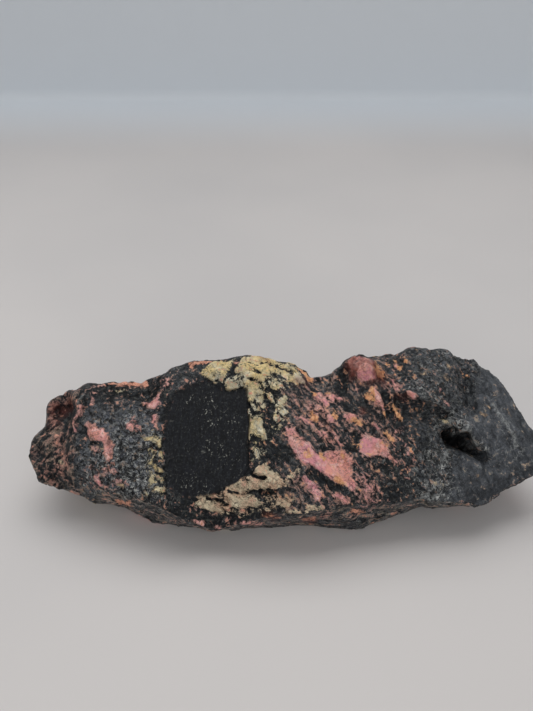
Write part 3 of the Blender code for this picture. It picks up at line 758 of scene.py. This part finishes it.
# where painted glints gather as thin light lines; these strokes also let the plates of the left
# part crack
BRIGHT_LINES = [
    (5, 0.8, (-44, 2), (-36, 1), (-31, 0)), (4, 0.6, (-42, 7), (-33, 6)),
    (2.2, 0.8, (-31, 10), (-30.5, 3)), (3, 0.5, (-38, 13)), (2.5, 0.9, (30, -1), (38, -2)),
    (3, 0.4, (46, 9), (52, 5)), (2, 0.8, (36, 15), (41, 14)), (2, 0.6, (34, 7), (36, 3)),
    (4, 0.35, (16, 2), (27, 5)), (3, 0.3, (28, 24), (34, 22)),
    (1.2, 0.8, (49, 19), (53, 12), (55, 8)),
]
# painted light: where these strokes lie the oxide is painted a lighter grey, on faces turned to the
# light
LIT = [
    (2.5, 0.7, (37, 16), (41, 15)), (2.5, 0.5, (46, 13), (48, 8)), (2.5, 0.5, (31, 29), (40, 30)),
    (1.3, 0.7, (49.2, 19), (51.2, 15.4), (53.2, 12.3), (54.3, 8.9)),
    (1.5, 0.5, (24.5, 27), (30, 20.8)),
]
# pale edges: partly worn edges, partly painted highlights where lips and crests catch the light
WORN_AND_LIT_EDGES = [
    (0.3, 1, (38.7, 11.7), (40.1, 12), (41.4, 12.9), (41.5, 13.9)),
    (0.3, 0.9, (41.6, 13), (42.6, 10.6), (44.3, 8.6)),
    (0.3, 0.8, (49.2, 19), (51.2, 15.4), (53.2, 12.3), (54.3, 8.9)),
    (0.3, 0.8, (31, -2.6), (33.4, -0.4)), (0.3, 0.8, (33.6, 0.2), (35.5, -0.2)),
    (0.3, 0.7, (32, -3), (35.5, -2.2)), (0.3, 0.6, (35, 4), (36.2, 7), (37, 8)),
    (0.25, 0.7, (43.5, 4.5), (45, 4)), (0.3, 0.5, (-50.6, 19.5), (-49.8, 21.5)),
    (0.4, 0.6, (36, 14.6), (38, 15.2)),
]
print(len(FLECKED + BRIGHT_LINES + LIT + WORN_AND_LIT_EDGES), "strokes")

# %% Attributes for the regions
over_window = face * ease(-along, 9, 12) * (1 - ease(-along, *SCALY_FROM)) * ease(up, 18, 21)
over_window *= 1 - window
left_of_saddle = ease(along, -5, 0) * (1 - ease(along, 22, 28))
left_of_saddle *= 1 - 0.7 * ease(along + 0.6 * (6 - up), 15, 20) * ease(-up, -9, -5)
mottle = (0.44 * left_end + regions["streaky"] * (0.08 + 0.37 * left_of_saddle)
          + 0.34 * regions["band"] + 0.04 * scaly - 0.02 * regions["smooth_end"]
          + 0.42 * (1 - ease(facing, -0.5, 0.1)) + 0.14 * over_window)
# grey: the oxide's lighter tone, partly its own and partly painted sheen
grey = (0.9 * regions["smooth_end"] + scaly * ease(-np.abs(ruler[:, 1] - 8), -14, -7)
        + face * ease(along, 24, 33) * 0.75 * (1 - regions["smooth_end"]) + 0.3 * hidden
        + 0.4 * regions["streaky"] * left_of_saddle + 0.5 * regions["band"] + 0.35 * over_window)
# painted light: the oxide is painted greyer where the LIT strokes lie
grey += 0.4 * cover_of(spots, LIT, fade=1.5) * front
# these carry the pit's painted shade, the painted highlights on edges, the oxide's grey with
# painted sheen and painted light, and the places of painted glints
store(stone, pit=pit, pale_edge=front * cover_of(spots, WORN_AND_LIT_EDGES, fade=0.3),
      smooth=regions["smooth_end"], mottle=mottle * (1 - window) * (1 - dark) * (1 - pit),
      grey=grey * (1 - window) * (1 - pit) * (1 - 0.7 * dark), window=window_share(spots, 0.2, 0.6),
      flecked=0.14 + cover_of(spots, FLECKED, fade=1.0), left_end=left_end, left_tip=left_tip,
      streaky=np.maximum(regions["streaky"], 0.7 * hidden), band=band, scaly=scaly,
      lines=front * cover_of(spots, BRIGHT_LINES, fade=2))

# %% [markdown]
# ## The rock's material
# One material covers the whole stone, because one rock does. The attributes say where a mineral may
# be; noise decides where exactly its grains begin and end. Adding noise to the cover and cutting it
# off at one half gives edges as ragged as the noise, and a half-covered patch falls apart into
# grains by itself.

# %% Small helpers for nodes
material = bpy.data.materials.new("rhodonite")
material.use_nodes = True
nodes, links = material.node_tree.nodes, material.node_tree.links
nodes.clear()


def add(kind, sockets, **settings):
    """Adds a node; sockets holds a value or another node's output for each socket."""
    node = nodes.new(kind)
    for name, value in settings.items():
        setattr(node, name, value)
    for key, value in sockets.items():
        if isinstance(value, bpy.types.NodeSocket):
            links.new(value, node.inputs[key])
        else:
            node.inputs[key].default_value = value
    return node


def colour(red, green, blue):
    """A colour read off as 0 to 255 on a screen, as the linear light that a shader works in."""
    levels = [value / 255 for value in (red, green, blue)]
    return (*[v / 12.92 if v <= 0.04045 else ((v + 0.055) / 1.055) ** 2.4 for v in levels], 1)


def maths(operation, first, second=0.0):
    """One operation on two values or sockets."""
    return add("ShaderNodeMath", {0: first, 1: second}, operation=operation).outputs[0]


def plus(first, second):
    """The sum of two values or sockets."""
    return maths("ADD", first, second)


def minus(first, second):
    """The first value without the second."""
    return maths("SUBTRACT", first, second)


def times(first, second):
    """The product of two values or sockets."""
    return maths("MULTIPLY", first, second)


def larger(first, second):
    """The larger one of two values or sockets."""
    return maths("MAXIMUM", first, second)


print("a middle grey on a screen gives", round(colour(128, 128, 128)[0], 2), "of white's light")


# %% Helpers that mix
def step_up(value, low, high, bottom=0.0, top=1.0):
    """Rises smoothly from the bottom to the top while the value goes from low to high."""
    node = add("ShaderNodeMapRange", {"Value": value, "From Min": low, "From Max": high,
                                      "To Min": bottom, "To Max": top},
               interpolation_type="SMOOTHSTEP")
    return node.outputs["Result"]


def mix(share, first, second):
    """A mix of two colours."""
    return add("ShaderNodeMix", {0: share, 6: first, 7: second}, data_type="RGBA").outputs[2]


def mix_values(share, first, second):
    """A mix of two numbers."""
    return add("ShaderNodeMix", {0: share, 2: first, 3: second}, data_type="FLOAT").outputs[0]


def attribute(name):
    """A point attribute of the stone."""
    return add("ShaderNodeAttribute", {}, attribute_name=name).outputs["Fac"]


def laid_over(base, *coats):
    """A colour with coats over it; each coat has its share and its tint, as 0 to 255."""
    for share, tint in coats:
        base = mix(share, base, colour(*tint))
    return base


def vector_maths(operation, sockets):
    """One operation on two vectors, or on a vector and a scale."""
    return add("ShaderNodeVectorMath", sockets, operation=operation).outputs[0]


print("helpers made;", len(nodes), "nodes so far")

# %% [markdown]
# ## Noise that follows the layers
# The rock's grains are torn along its layers, so the noise that tears their edges is turned and
# stretched by the same directions as the relief, one for each region. Its coordinates are pushed
# about a little first, or the stretched pattern would look ruled.

# %% Coordinates, pushed about
PUSH_SIZE, PUSH = 1.4 * MM, 1.5 * MM

place = add("ShaderNodeTexCoord", {}).outputs["Object"]
pushing = add("ShaderNodeTexNoise", {"Vector": place, "Scale": 1 / PUSH_SIZE, "Detail": 3.0})
centred = vector_maths("SUBTRACT", {0: pushing.outputs["Color"], 1: (0.5, 0.5, 0.5)})
spot = vector_maths("ADD", {0: place, 1: vector_maths("SCALE", {0: centred, "Scale": PUSH})})
print("coordinates pushed by up to", round(PUSH / MM / 2, 2), "mm")


# %% The layers' noise in each region
def grain(vector, size, detail=3.0, roughness=0.55):
    """Noise with lumps of a size in millimetres; it lies around one half."""
    return add("ShaderNodeTexNoise", {"Vector": vector, "Scale": 1 / (size * MM), "Detail": detail,
                                      "Roughness": roughness}).outputs["Fac"]


def along_layers(vector, angle, sizes):
    """Coordinates of a pattern that runs along the face at an angle, stretched to its sizes."""
    turn = pattern_axes(angle).to_euler()
    scale = [size * MM for size in sizes]
    return add("ShaderNodeMapping", {"Vector": vector, "Rotation": turn, "Scale": scale},
               vector_type="TEXTURE").outputs["Vector"]


def layered(vector, angle, sizes, detail=3.0):
    """Noise drawn out along the layers."""
    return add("ShaderNodeTexNoise", {"Vector": along_layers(vector, angle, sizes), "Scale": 1.0,
                                      "Detail": detail, "Roughness": 0.6}).outputs["Fac"]


even = grain(spot, 1.6, 5.0)
middle = layered(spot, STREAKS_DOWN, (4.2, 0.9, 2.0), 4.0)
left = mix_values(attribute("left_tip"), layered(spot, STREAKS_LEFT, (4.0, 1.2, 2.5), 3.0),
                  layered(spot, STREAKS_TIP, (4.0, 1.2, 2.5), 3.0))
lower = layered(spot, STREAKS_BAND, (6, 1.0, 1.0), 4.0)
fabric = mix_values(attribute("streaky"), even, middle)
fabric = mix_values(attribute("left_end"), fabric, left)
fabric = mix_values(attribute("band"), fabric, lower)
fine = grain(place, 0.55, 3.0, 0.7)
broad = grain(place, 4.5, 3.0)
hue = grain(place, 3.2, 3.0)
wander = grain(spot, 3.4, 4.0, 0.6)
worn = grain(spot, 0.9, 3.0, 0.65)
print(len(nodes), "nodes so far")

# %% [markdown]
# ## Cracks and shares
# Threads of black oxide run between the grains and across them. A curve for each thread would take
# hundreds. A noise passes through one half along thin wandering lines, and those lines do as
# cracks. They take something from a mineral's cover, so a grain also ends at them.

# %% Black cracks between and across the grains
STREAKS_SLANT = -24


def creases(value, width):
    """Thin wandering lines, where a noise passes through one half."""
    return step_up(maths("ABSOLUTE", minus(value, 0.5)), 0.0, width, 1.0, 0.0)


seams = times(creases(grain(spot, 2.2, 3.0, 0.6), 0.03), step_up(hue, 0.44, 0.52))
cracks = larger(seams, creases(wander, 0.028))
slant = layered(spot, STREAKS_SLANT, (9, 1.3, 3), 3.0)
slant_cracks = larger(creases(slant, 0.035), creases(wander, 0.014))
print(len(nodes), "nodes so far")


# %% Shares of each mineral
def total_cover(cover, ragged, frayed):
    """A mineral's cover with the rock's noise added, which tears its edge."""
    torn = times(minus(fabric, 0.5), ragged)
    frays = times(minus(worn, 0.5), frayed)
    return plus(plus(cover, torn), frays)


def cut(total, softness):
    """The total cut off at one half."""
    return step_up(total, 0.5 - softness, 0.5 + softness)


bare = larger(times(attribute("smooth"), 0.3), times(attribute("scaly"), 0.12))
solid_pink = step_up(attribute("pink"), 0.8, 1.15, 0.0, 0.35)
pink_cover = minus(minus(plus(attribute("pink"), solid_pink), times(cracks, 0.12)), bare)
pink_total = total_cover(pink_cover, 2.6, 2.2)
cream_total = total_cover(minus(attribute("cream"), times(cracks, 0.5)), 2.0, 1.2)
beige_total = total_cover(minus(attribute("beige"), times(slant_cracks, 0.45)), 1.8, 1.6)
orange_total = total_cover(minus(attribute("orange"), times(attribute("smooth"), 0.36)), 2.0, 2.4)
crumb_total = total_cover(attribute("mottle"), 3.2, 2.2)
pink, cream, beige = cut(pink_total, 0.24), cut(cream_total, 0.15), cut(beige_total, 0.16)
orange, crumbs = cut(orange_total, 0.25), cut(crumb_total, 0.2)
print(len(nodes), "nodes so far")

# %% [markdown]
# ## Tints
# No grain has one tint. Pink is paler inside, tan where it has weathered, and veined with grey. A
# colour ramp can follow one noise alone, so each tint is a coat over the last, with its own share.

# %% Colours of the pink, cream and beige grains
warmth = plus(attribute("warmth"), times(minus(hue, 0.5), 1.6))
veins = times(creases(grain(spot, 1.3, 3.0, 0.65), 0.03), step_up(broad, 0.4, 0.56, 0.25, 0.8))
pink_tint = laid_over(
    colour(219, 149, 156), (step_up(warmth, 0.1, 0.9), (223, 153, 140)),
    (step_up(even, 0.5, 0.62, 0.0, 0.65), (244, 202, 196)),
    (step_up(grain(spot, 2.4, 2.0), 0.52, 0.6, 0.0, 0.4), (232, 180, 172)),
    (step_up(worn, 0.54, 0.68, 0.0, 0.5), (224, 168, 128)),
    (step_up(pink_total, 1.25, 0.5, 0.0, 0.75), (172, 136, 124)),
    (step_up(fine, 0.45, 0.35, 0.0, 0.2), (136, 90, 84)), (veins, (96, 70, 66)))
cream_tint = laid_over(
    colour(220, 213, 190), (step_up(warmth, 0.3, 0.7), (226, 202, 146)),
    (step_up(even, 0.48, 0.6, 0.0, 0.6), (178, 168, 142)),
    (step_up(broad, 0.5, 0.62, 0.0, 0.35), (166, 160, 138)),
    (step_up(worn, 0.54, 0.66, 0.0, 0.5), (204, 166, 100)),
    (step_up(cream_total, 0.8, 0.45, 0.0, 0.7), (150, 144, 124)),
    (step_up(fine, 0.44, 0.34, 0.0, 0.25), (128, 120, 98)), (times(veins, 0.6), (84, 80, 70)))
beige_tint = laid_over(
    colour(198, 182, 154), (step_up(warmth, 0.3, 0.75), (202, 166, 138)),
    (step_up(worn, 0.5, 0.66, 0.0, 0.7), (226, 214, 184)),
    (step_up(fine, 0.47, 0.32, 0.0, 0.45), (104, 94, 82)), (veins, (80, 72, 62)),
    (times(slant_cracks, 0.45), (88, 76, 64)))
print(len(nodes), "nodes so far")

# %% Colours of the orange grains and of the crumbs
salmon = laid_over(colour(186, 126, 102), (step_up(fine, 0.4, 0.6), (222, 162, 138)))
golden = laid_over(colour(202, 138, 98), (step_up(fine, 0.4, 0.6), (230, 178, 134)))
tan_fleck = laid_over(colour(128, 110, 94), (step_up(orange_total, 0.6, 1.3), (212, 184, 150)))
orange_tint = mix(step_up(attribute("streaky"), 0.3, 0.7), salmon, golden)
orange_tint = mix(step_up(attribute("grey"), 0.45, 0.75), orange_tint, tan_fleck)
left_crumb = laid_over(colour(164, 122, 110), (step_up(hue, 0.4, 0.6), (146, 128, 114)))
crumb_tint = laid_over(
    colour(152, 134, 130), (step_up(hue, 0.42, 0.58), (140, 138, 124)),
    (step_up(even, 0.5, 0.62), (178, 150, 140)), (step_up(wander, 0.54, 0.62), (178, 160, 134)),
    (times(attribute("streaky"), 0.6), (194, 144, 130)))
crumb_tint = mix(attribute("left_end"), crumb_tint, left_crumb)
crumb_tint = laid_over(crumb_tint,
                       (step_up(attribute("grey"), 0.1, 0.8, 0.0, 0.7), (150, 142, 130)))
print(len(nodes), "nodes so far")

# %% [markdown]
# ## Oxide
# The oxide isn't plain black. It is sooty on a rough break and a soft grey where it is smooth; that
# grey is partly its own tone and partly painted sheen, and thin painted glints lie over it. On the
# left part it has cracked into small plates, with a painted highlight along their rims. Plates have
# straight sides, so noise won't draw them. Voronoi cells have such sides, and the distance to a
# cell's edge gives the crack and, a little further in, the rim's painted highlight.

# %% Plates of the left part, with cracks between them and painted highlights on their rims
PLATE_SIZE = 2.7 * MM

flaky, smooth = attribute("scaly"), attribute("smooth")
plate = add("ShaderNodeTexVoronoi", {"Vector": spot, "Scale": 1 / PLATE_SIZE},
            feature="DISTANCE_TO_EDGE").outputs["Distance"]
broken_share = times(times(flaky, attribute("lines")), step_up(wander, 0.44, 0.54, 0.2, 1.0))
plate_cracks = times(broken_share, step_up(plate, 0.03, 0.11, 1.0, 0.0))
# painted highlight on the plates' rims: a light band just inside each crack
lit_rims = times(step_up(plate, 0.06, 0.1), step_up(plate, 0.12, 0.19, 1.0, 0.0))
lit_rims = times(times(broken_share, lit_rims), step_up(worn, 0.48, 0.56))
cream_tint = laid_over(cream_tint, (plate_cracks, (40, 38, 34)))
print(len(nodes), "nodes so far")

# %% Colours of the manganese oxide
rough_share = minus(1.0, times(smooth, 0.7))
end_grain = layered(spot, STREAKS_END, (4.5, 0.8, 2.0), 4.0)
chip_tone = step_up(grain(spot, 1.0, 4.0, 0.75), 0.36, 0.62, 0.1, 1.0)
chip_tone = mix_values(smooth, chip_tone, step_up(end_grain, 0.34, 0.64, 0.45, 1.0))
grey_tint = mix(flaky, colour(100, 104, 110), colour(116, 120, 128))
# the oxide's grey is partly its own tone and partly painted sheen, and lighter still where painted
# light lies
oxide = mix(times(attribute("grey"), chip_tone), colour(25, 30, 35), grey_tint)
worn_tint = mix(smooth, colour(104, 104, 96), colour(74, 76, 80))
oxide = mix(step_up(worn, 0.5, 0.64, 0.0, 0.5), oxide, worn_tint)
gaps = times(creases(grain(spot, 2.6, 2.0, 0.5), 0.07), step_up(broad, 0.42, 0.52))
gaps = times(gaps, mix_values(smooth, mix_values(flaky, 0.6, 1.0), 0.2))
hollows = times(flaky, step_up(wander, 0.47, 0.4))
# painted glints: thin light lines over the oxide, most where the BRIGHT_LINES strokes lie
swirls = larger(creases(worn, 0.025), creases(grain(spot, 1.7, 1.5, 0.5), 0.03))
swirls = larger(swirls, lit_rims)
glint_share = mix_values(attribute("lines"), times(swirls, 0.4), times(swirls, 1.5))
glint_share = times(glint_share, step_up(grain(place, 1.1, 2.0), 0.44, 0.58, 0.15, 1.0))
glint_share = times(glint_share, rough_share)
# painted glints and the pale edges, partly worn and partly painted highlights, go over the oxide
# last
oxide = laid_over(
    oxide, (times(step_up(fine, 0.5, 0.36, 0.0, 0.75), rough_share), (14, 14, 17)),
    (times(gaps, 0.9), (15, 15, 18)), (times(hollows, 0.6), (16, 17, 20)),
    (times(plate_cracks, 0.9), (12, 12, 15)),
    (times(glint_share, plus(attribute("grey"), 0.3)), (190, 191, 187)),
    (times(attribute("pale_edge"), step_up(fine, 0.36, 0.5)), (172, 174, 172)))
print(len(nodes), "nodes so far")

# %% Laying the minerals over each other
tone = oxide
for share, tint in ((times(crumbs, step_up(broad, 0.36, 0.6, 0.3, 0.9)), crumb_tint),
                    (beige, beige_tint), (cream, cream_tint), (pink, pink_tint),
                    (orange, orange_tint)):
    tone = mix(share, tone, tint)
rusty = times(attribute("rust"), step_up(wander, 0.4, 0.55, 0.25, 0.9))
# the pit is painted near black: partly the black oxide of its floor, partly painted shade of its
# deep walls
tone = laid_over(tone, (rusty, (122, 62, 52)), (times(attribute("pit"), 0.88), (10, 10, 13)))
mineral = larger(larger(pink, cream), larger(beige, orange))
print(len(nodes), "nodes so far")

# %% [markdown]
# ## The window's finish and the last detail
# The window is blacker and more even than the rock around it, with faint scratches down it and
# pale flecks. It could be a second material, but then its edge would follow the faces of the mesh.
#
# Grains finer than the skin's faces are left to a bump; painted shade and light follow its relief.

# %% The window's own finish
SCRATCHES = 88

scratches = layered(place, SCRATCHES, (6, 0.4, 0.8), 4.0)
wisps = layered(spot, SCRATCHES, (0.75, 0.45, 0.7), 3.0)
window_tint = laid_over(
    colour(3, 4, 8), (step_up(scratches, 0.4, 0.65), (20, 22, 29)),
    (step_up(fine, 0.48, 0.66, 0.0, 0.6), (48, 51, 54)),
    (times(step_up(wisps, 0.59, 0.7), attribute("flecked")), (176, 176, 166)))
in_window = attribute("window")
tone = mix(in_window, tone, window_tint)
print(len(nodes), "nodes so far")

# %% Height of the fine relief, with painted shade in its hollows and painted light on its rises
relief = plus(times(fabric, 0.8), times(worn, 0.5))
relief = plus(relief, times(mineral, 0.14))
relief = plus(relief, times(swirls, 0.05))
relief = minus(relief, times(cracks, 0.08))
relief = minus(relief, times(larger(gaps, plate_cracks), 0.25))
relief = times(relief, mix_values(in_window, 1.0, 0.12))
# painted shade and painted light: the colour is darkened where the relief is low and lightened
# where it is high
shadow = step_up(relief, 0.4, 0.85, 0.5, 1.35)
shadow = mix_values(in_window, shadow, 1.0)
shading = add("ShaderNodeMix", {0: 1.0, 6: tone, 7: shadow}, data_type="RGBA",
              blend_type="MULTIPLY")
tone = shading.outputs[2]
print(len(nodes), "nodes so far")

# %% Gloss and bump
BUMP_HEIGHT = 0.8 * MM

gloss = mix_values(mineral, step_up(even, 0.35, 0.65, 0.34, 0.6),
                   step_up(fine, 0.35, 0.65, 0.36, 0.52))
gloss = mix_values(in_window, gloss, step_up(fine, 0.35, 0.65, 0.5, 0.62))
bump = add("ShaderNodeBump", {"Height": relief, "Distance": BUMP_HEIGHT, "Strength": 1.0})
surface = add("ShaderNodeBsdfPrincipled", {"Base Color": tone, "Roughness": gloss,
                                           "Normal": bump.outputs["Normal"],
                                           "Specular IOR Level": 0.25})
add("ShaderNodeOutputMaterial", {"Surface": surface.outputs["BSDF"]})
stone.data.materials.append(material)
only(stone)
bpy.ops.object.shade_smooth()
print("material has", len(nodes), "nodes")

# %% [markdown]
# ## Floor, wall and light
# A dark stone needs a pale, quiet place. The floor and the wall behind it are one bent sheet, so
# that no seam shows. Soft light falls from above and behind, which leaves a faint shadow in front,
# and a weaker one from in front keeps the broad face readable.

# %% The sheet behind the stone
FLOOR_FRONT, WALL_PLACE, WALL_HEIGHT, HALF_WIDTH = -1.2, 0.306, 0.3, 1.5
BEND_WIDTH = 0.006

bpy.ops.object.select_all(action="DESELECT")
bpy.ops.mesh.primitive_plane_add(size=1)
sheet = bpy.context.object
sheet.name = "pale_floor"
corners = [(-HALF_WIDTH, FLOOR_FRONT), (HALF_WIDTH, FLOOR_FRONT), (-HALF_WIDTH, WALL_PLACE),
           (HALF_WIDTH, WALL_PLACE)]
for vertex, (x, y) in zip(sheet.data.vertices, corners):
    vertex.co = (x, y, 0)
bpy.ops.object.mode_set(mode="EDIT")
bpy.ops.mesh.select_all(action="DESELECT")
bpy.ops.object.mode_set(mode="OBJECT")
for edge in sheet.data.edges:
    edge.select = all(sheet.data.vertices[v].co.y > WALL_PLACE - MM for v in edge.vertices)
bpy.ops.object.mode_set(mode="EDIT")
bpy.ops.mesh.extrude_region_move(TRANSFORM_OT_translate={"value": (0, 0, WALL_HEIGHT)})
bpy.ops.object.mode_set(mode="OBJECT")
apply_modifier(sheet, "BEVEL", width=BEND_WIDTH, segments=4, limit_method="ANGLE")
print("sheet:", len(sheet.data.polygons), "faces")

# %% The sheet's finish
SHEET_ROUGHNESS, CLOUDS_A_METRE, WALL_FADE = 0.6, 6.0, 0.22

sheet_material = bpy.data.materials.new("pale_sheet")
sheet_material.use_nodes = True
# from here on the helpers add their nodes to the sheet's material
nodes, links = sheet_material.node_tree.nodes, sheet_material.node_tree.links
sheet_surface = nodes["Principled BSDF"]
sheet_surface.inputs["Roughness"].default_value = SHEET_ROUGHNESS
sheet_place = add("ShaderNodeTexCoord", {}).outputs["Object"]
cloudy = add("ShaderNodeTexNoise", {"Vector": sheet_place, "Scale": CLOUDS_A_METRE,
                                    "Detail": 3.0})
patches = step_up(cloudy.outputs["Fac"], 0.35, 0.65)
floor_tint = mix(patches, colour(213, 209, 207), colour(221, 216, 213))
depth = add("ShaderNodeSeparateXYZ", {0: sheet_place}).outputs["Y"]
sheet_tint = mix(step_up(depth, WALL_FADE, WALL_PLACE), floor_tint, colour(230, 235, 240))
links.new(sheet_tint, sheet_surface.inputs["Base Color"])
sheet.data.materials.append(sheet_material)
only(sheet)
bpy.ops.object.shade_smooth()
sheet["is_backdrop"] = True
print("the sheet's material has", len(nodes), "nodes")

# %% Lights
LIGHTS = [("sky_light", (-0.12, 0.48, 0.75), 1.1, 7.2),
          ("front_light", (0.15, -0.95, 0.5), 0.9, 2.7)]
ROOM_COLOUR, ROOM_STRENGTH = (0.95, 0.97, 1, 1), 0.27

for name, position, size, power in LIGHTS:
    bpy.ops.object.select_all(action="DESELECT")
    bpy.ops.object.light_add(type="AREA", location=position)
    light = bpy.context.object
    light.name = name
    light.data.size = size
    light.data.energy = power
    light.rotation_euler = (-Vector(position)).to_track_quat("-Z", "Y").to_euler()
    print(name, power, "W")
world = bpy.data.worlds.new("soft_room")
bpy.context.scene.world = world
world.use_nodes = True
background = world.node_tree.nodes["Background"]
background.inputs["Color"].default_value = ROOM_COLOUR
background.inputs["Strength"].default_value = ROOM_STRENGTH
bpy.context.scene.view_settings.view_transform = "Standard"

# %% [markdown]
# ## The camera
# The stone is looked at as on a table, from close by and from above, so that its broad face turns
# to the eye. A long lens from far away would draw it flatter. The focal length is given in pixels,
# as it comes out of fitting a camera to a picture, and is turned into millimetres here.

# %% Camera
CAMERA_PLACE = (-5.14 * MM, -150.12 * MM, 146 * MM)
CAMERA_TILT = 54.5
SENSOR = 36
FOCAL_PIXELS, LONG_SIDE = 800, 711
NEAREST_SEEN = 0.005

bpy.ops.object.camera_add(location=CAMERA_PLACE, rotation=(math.radians(CAMERA_TILT), 0, 0))
camera = bpy.context.object
camera.data.sensor_width = SENSOR
camera.data.lens = FOCAL_PIXELS * SENSOR / LONG_SIDE
camera.data.clip_start = NEAREST_SEEN
bpy.context.scene.camera = camera
print("lens:", round(camera.data.lens, 2), "mm")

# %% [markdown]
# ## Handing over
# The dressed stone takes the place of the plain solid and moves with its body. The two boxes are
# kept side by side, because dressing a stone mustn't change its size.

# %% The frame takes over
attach(stone, "root")
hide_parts("rhodonite_stone")
stone_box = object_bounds()
for name, corners in (("solid", cad_box), ("dressed", stone_box)):
    print(name, "box:", [[round(value / MM, 1) for value in corner] for corner in corners], "mm")
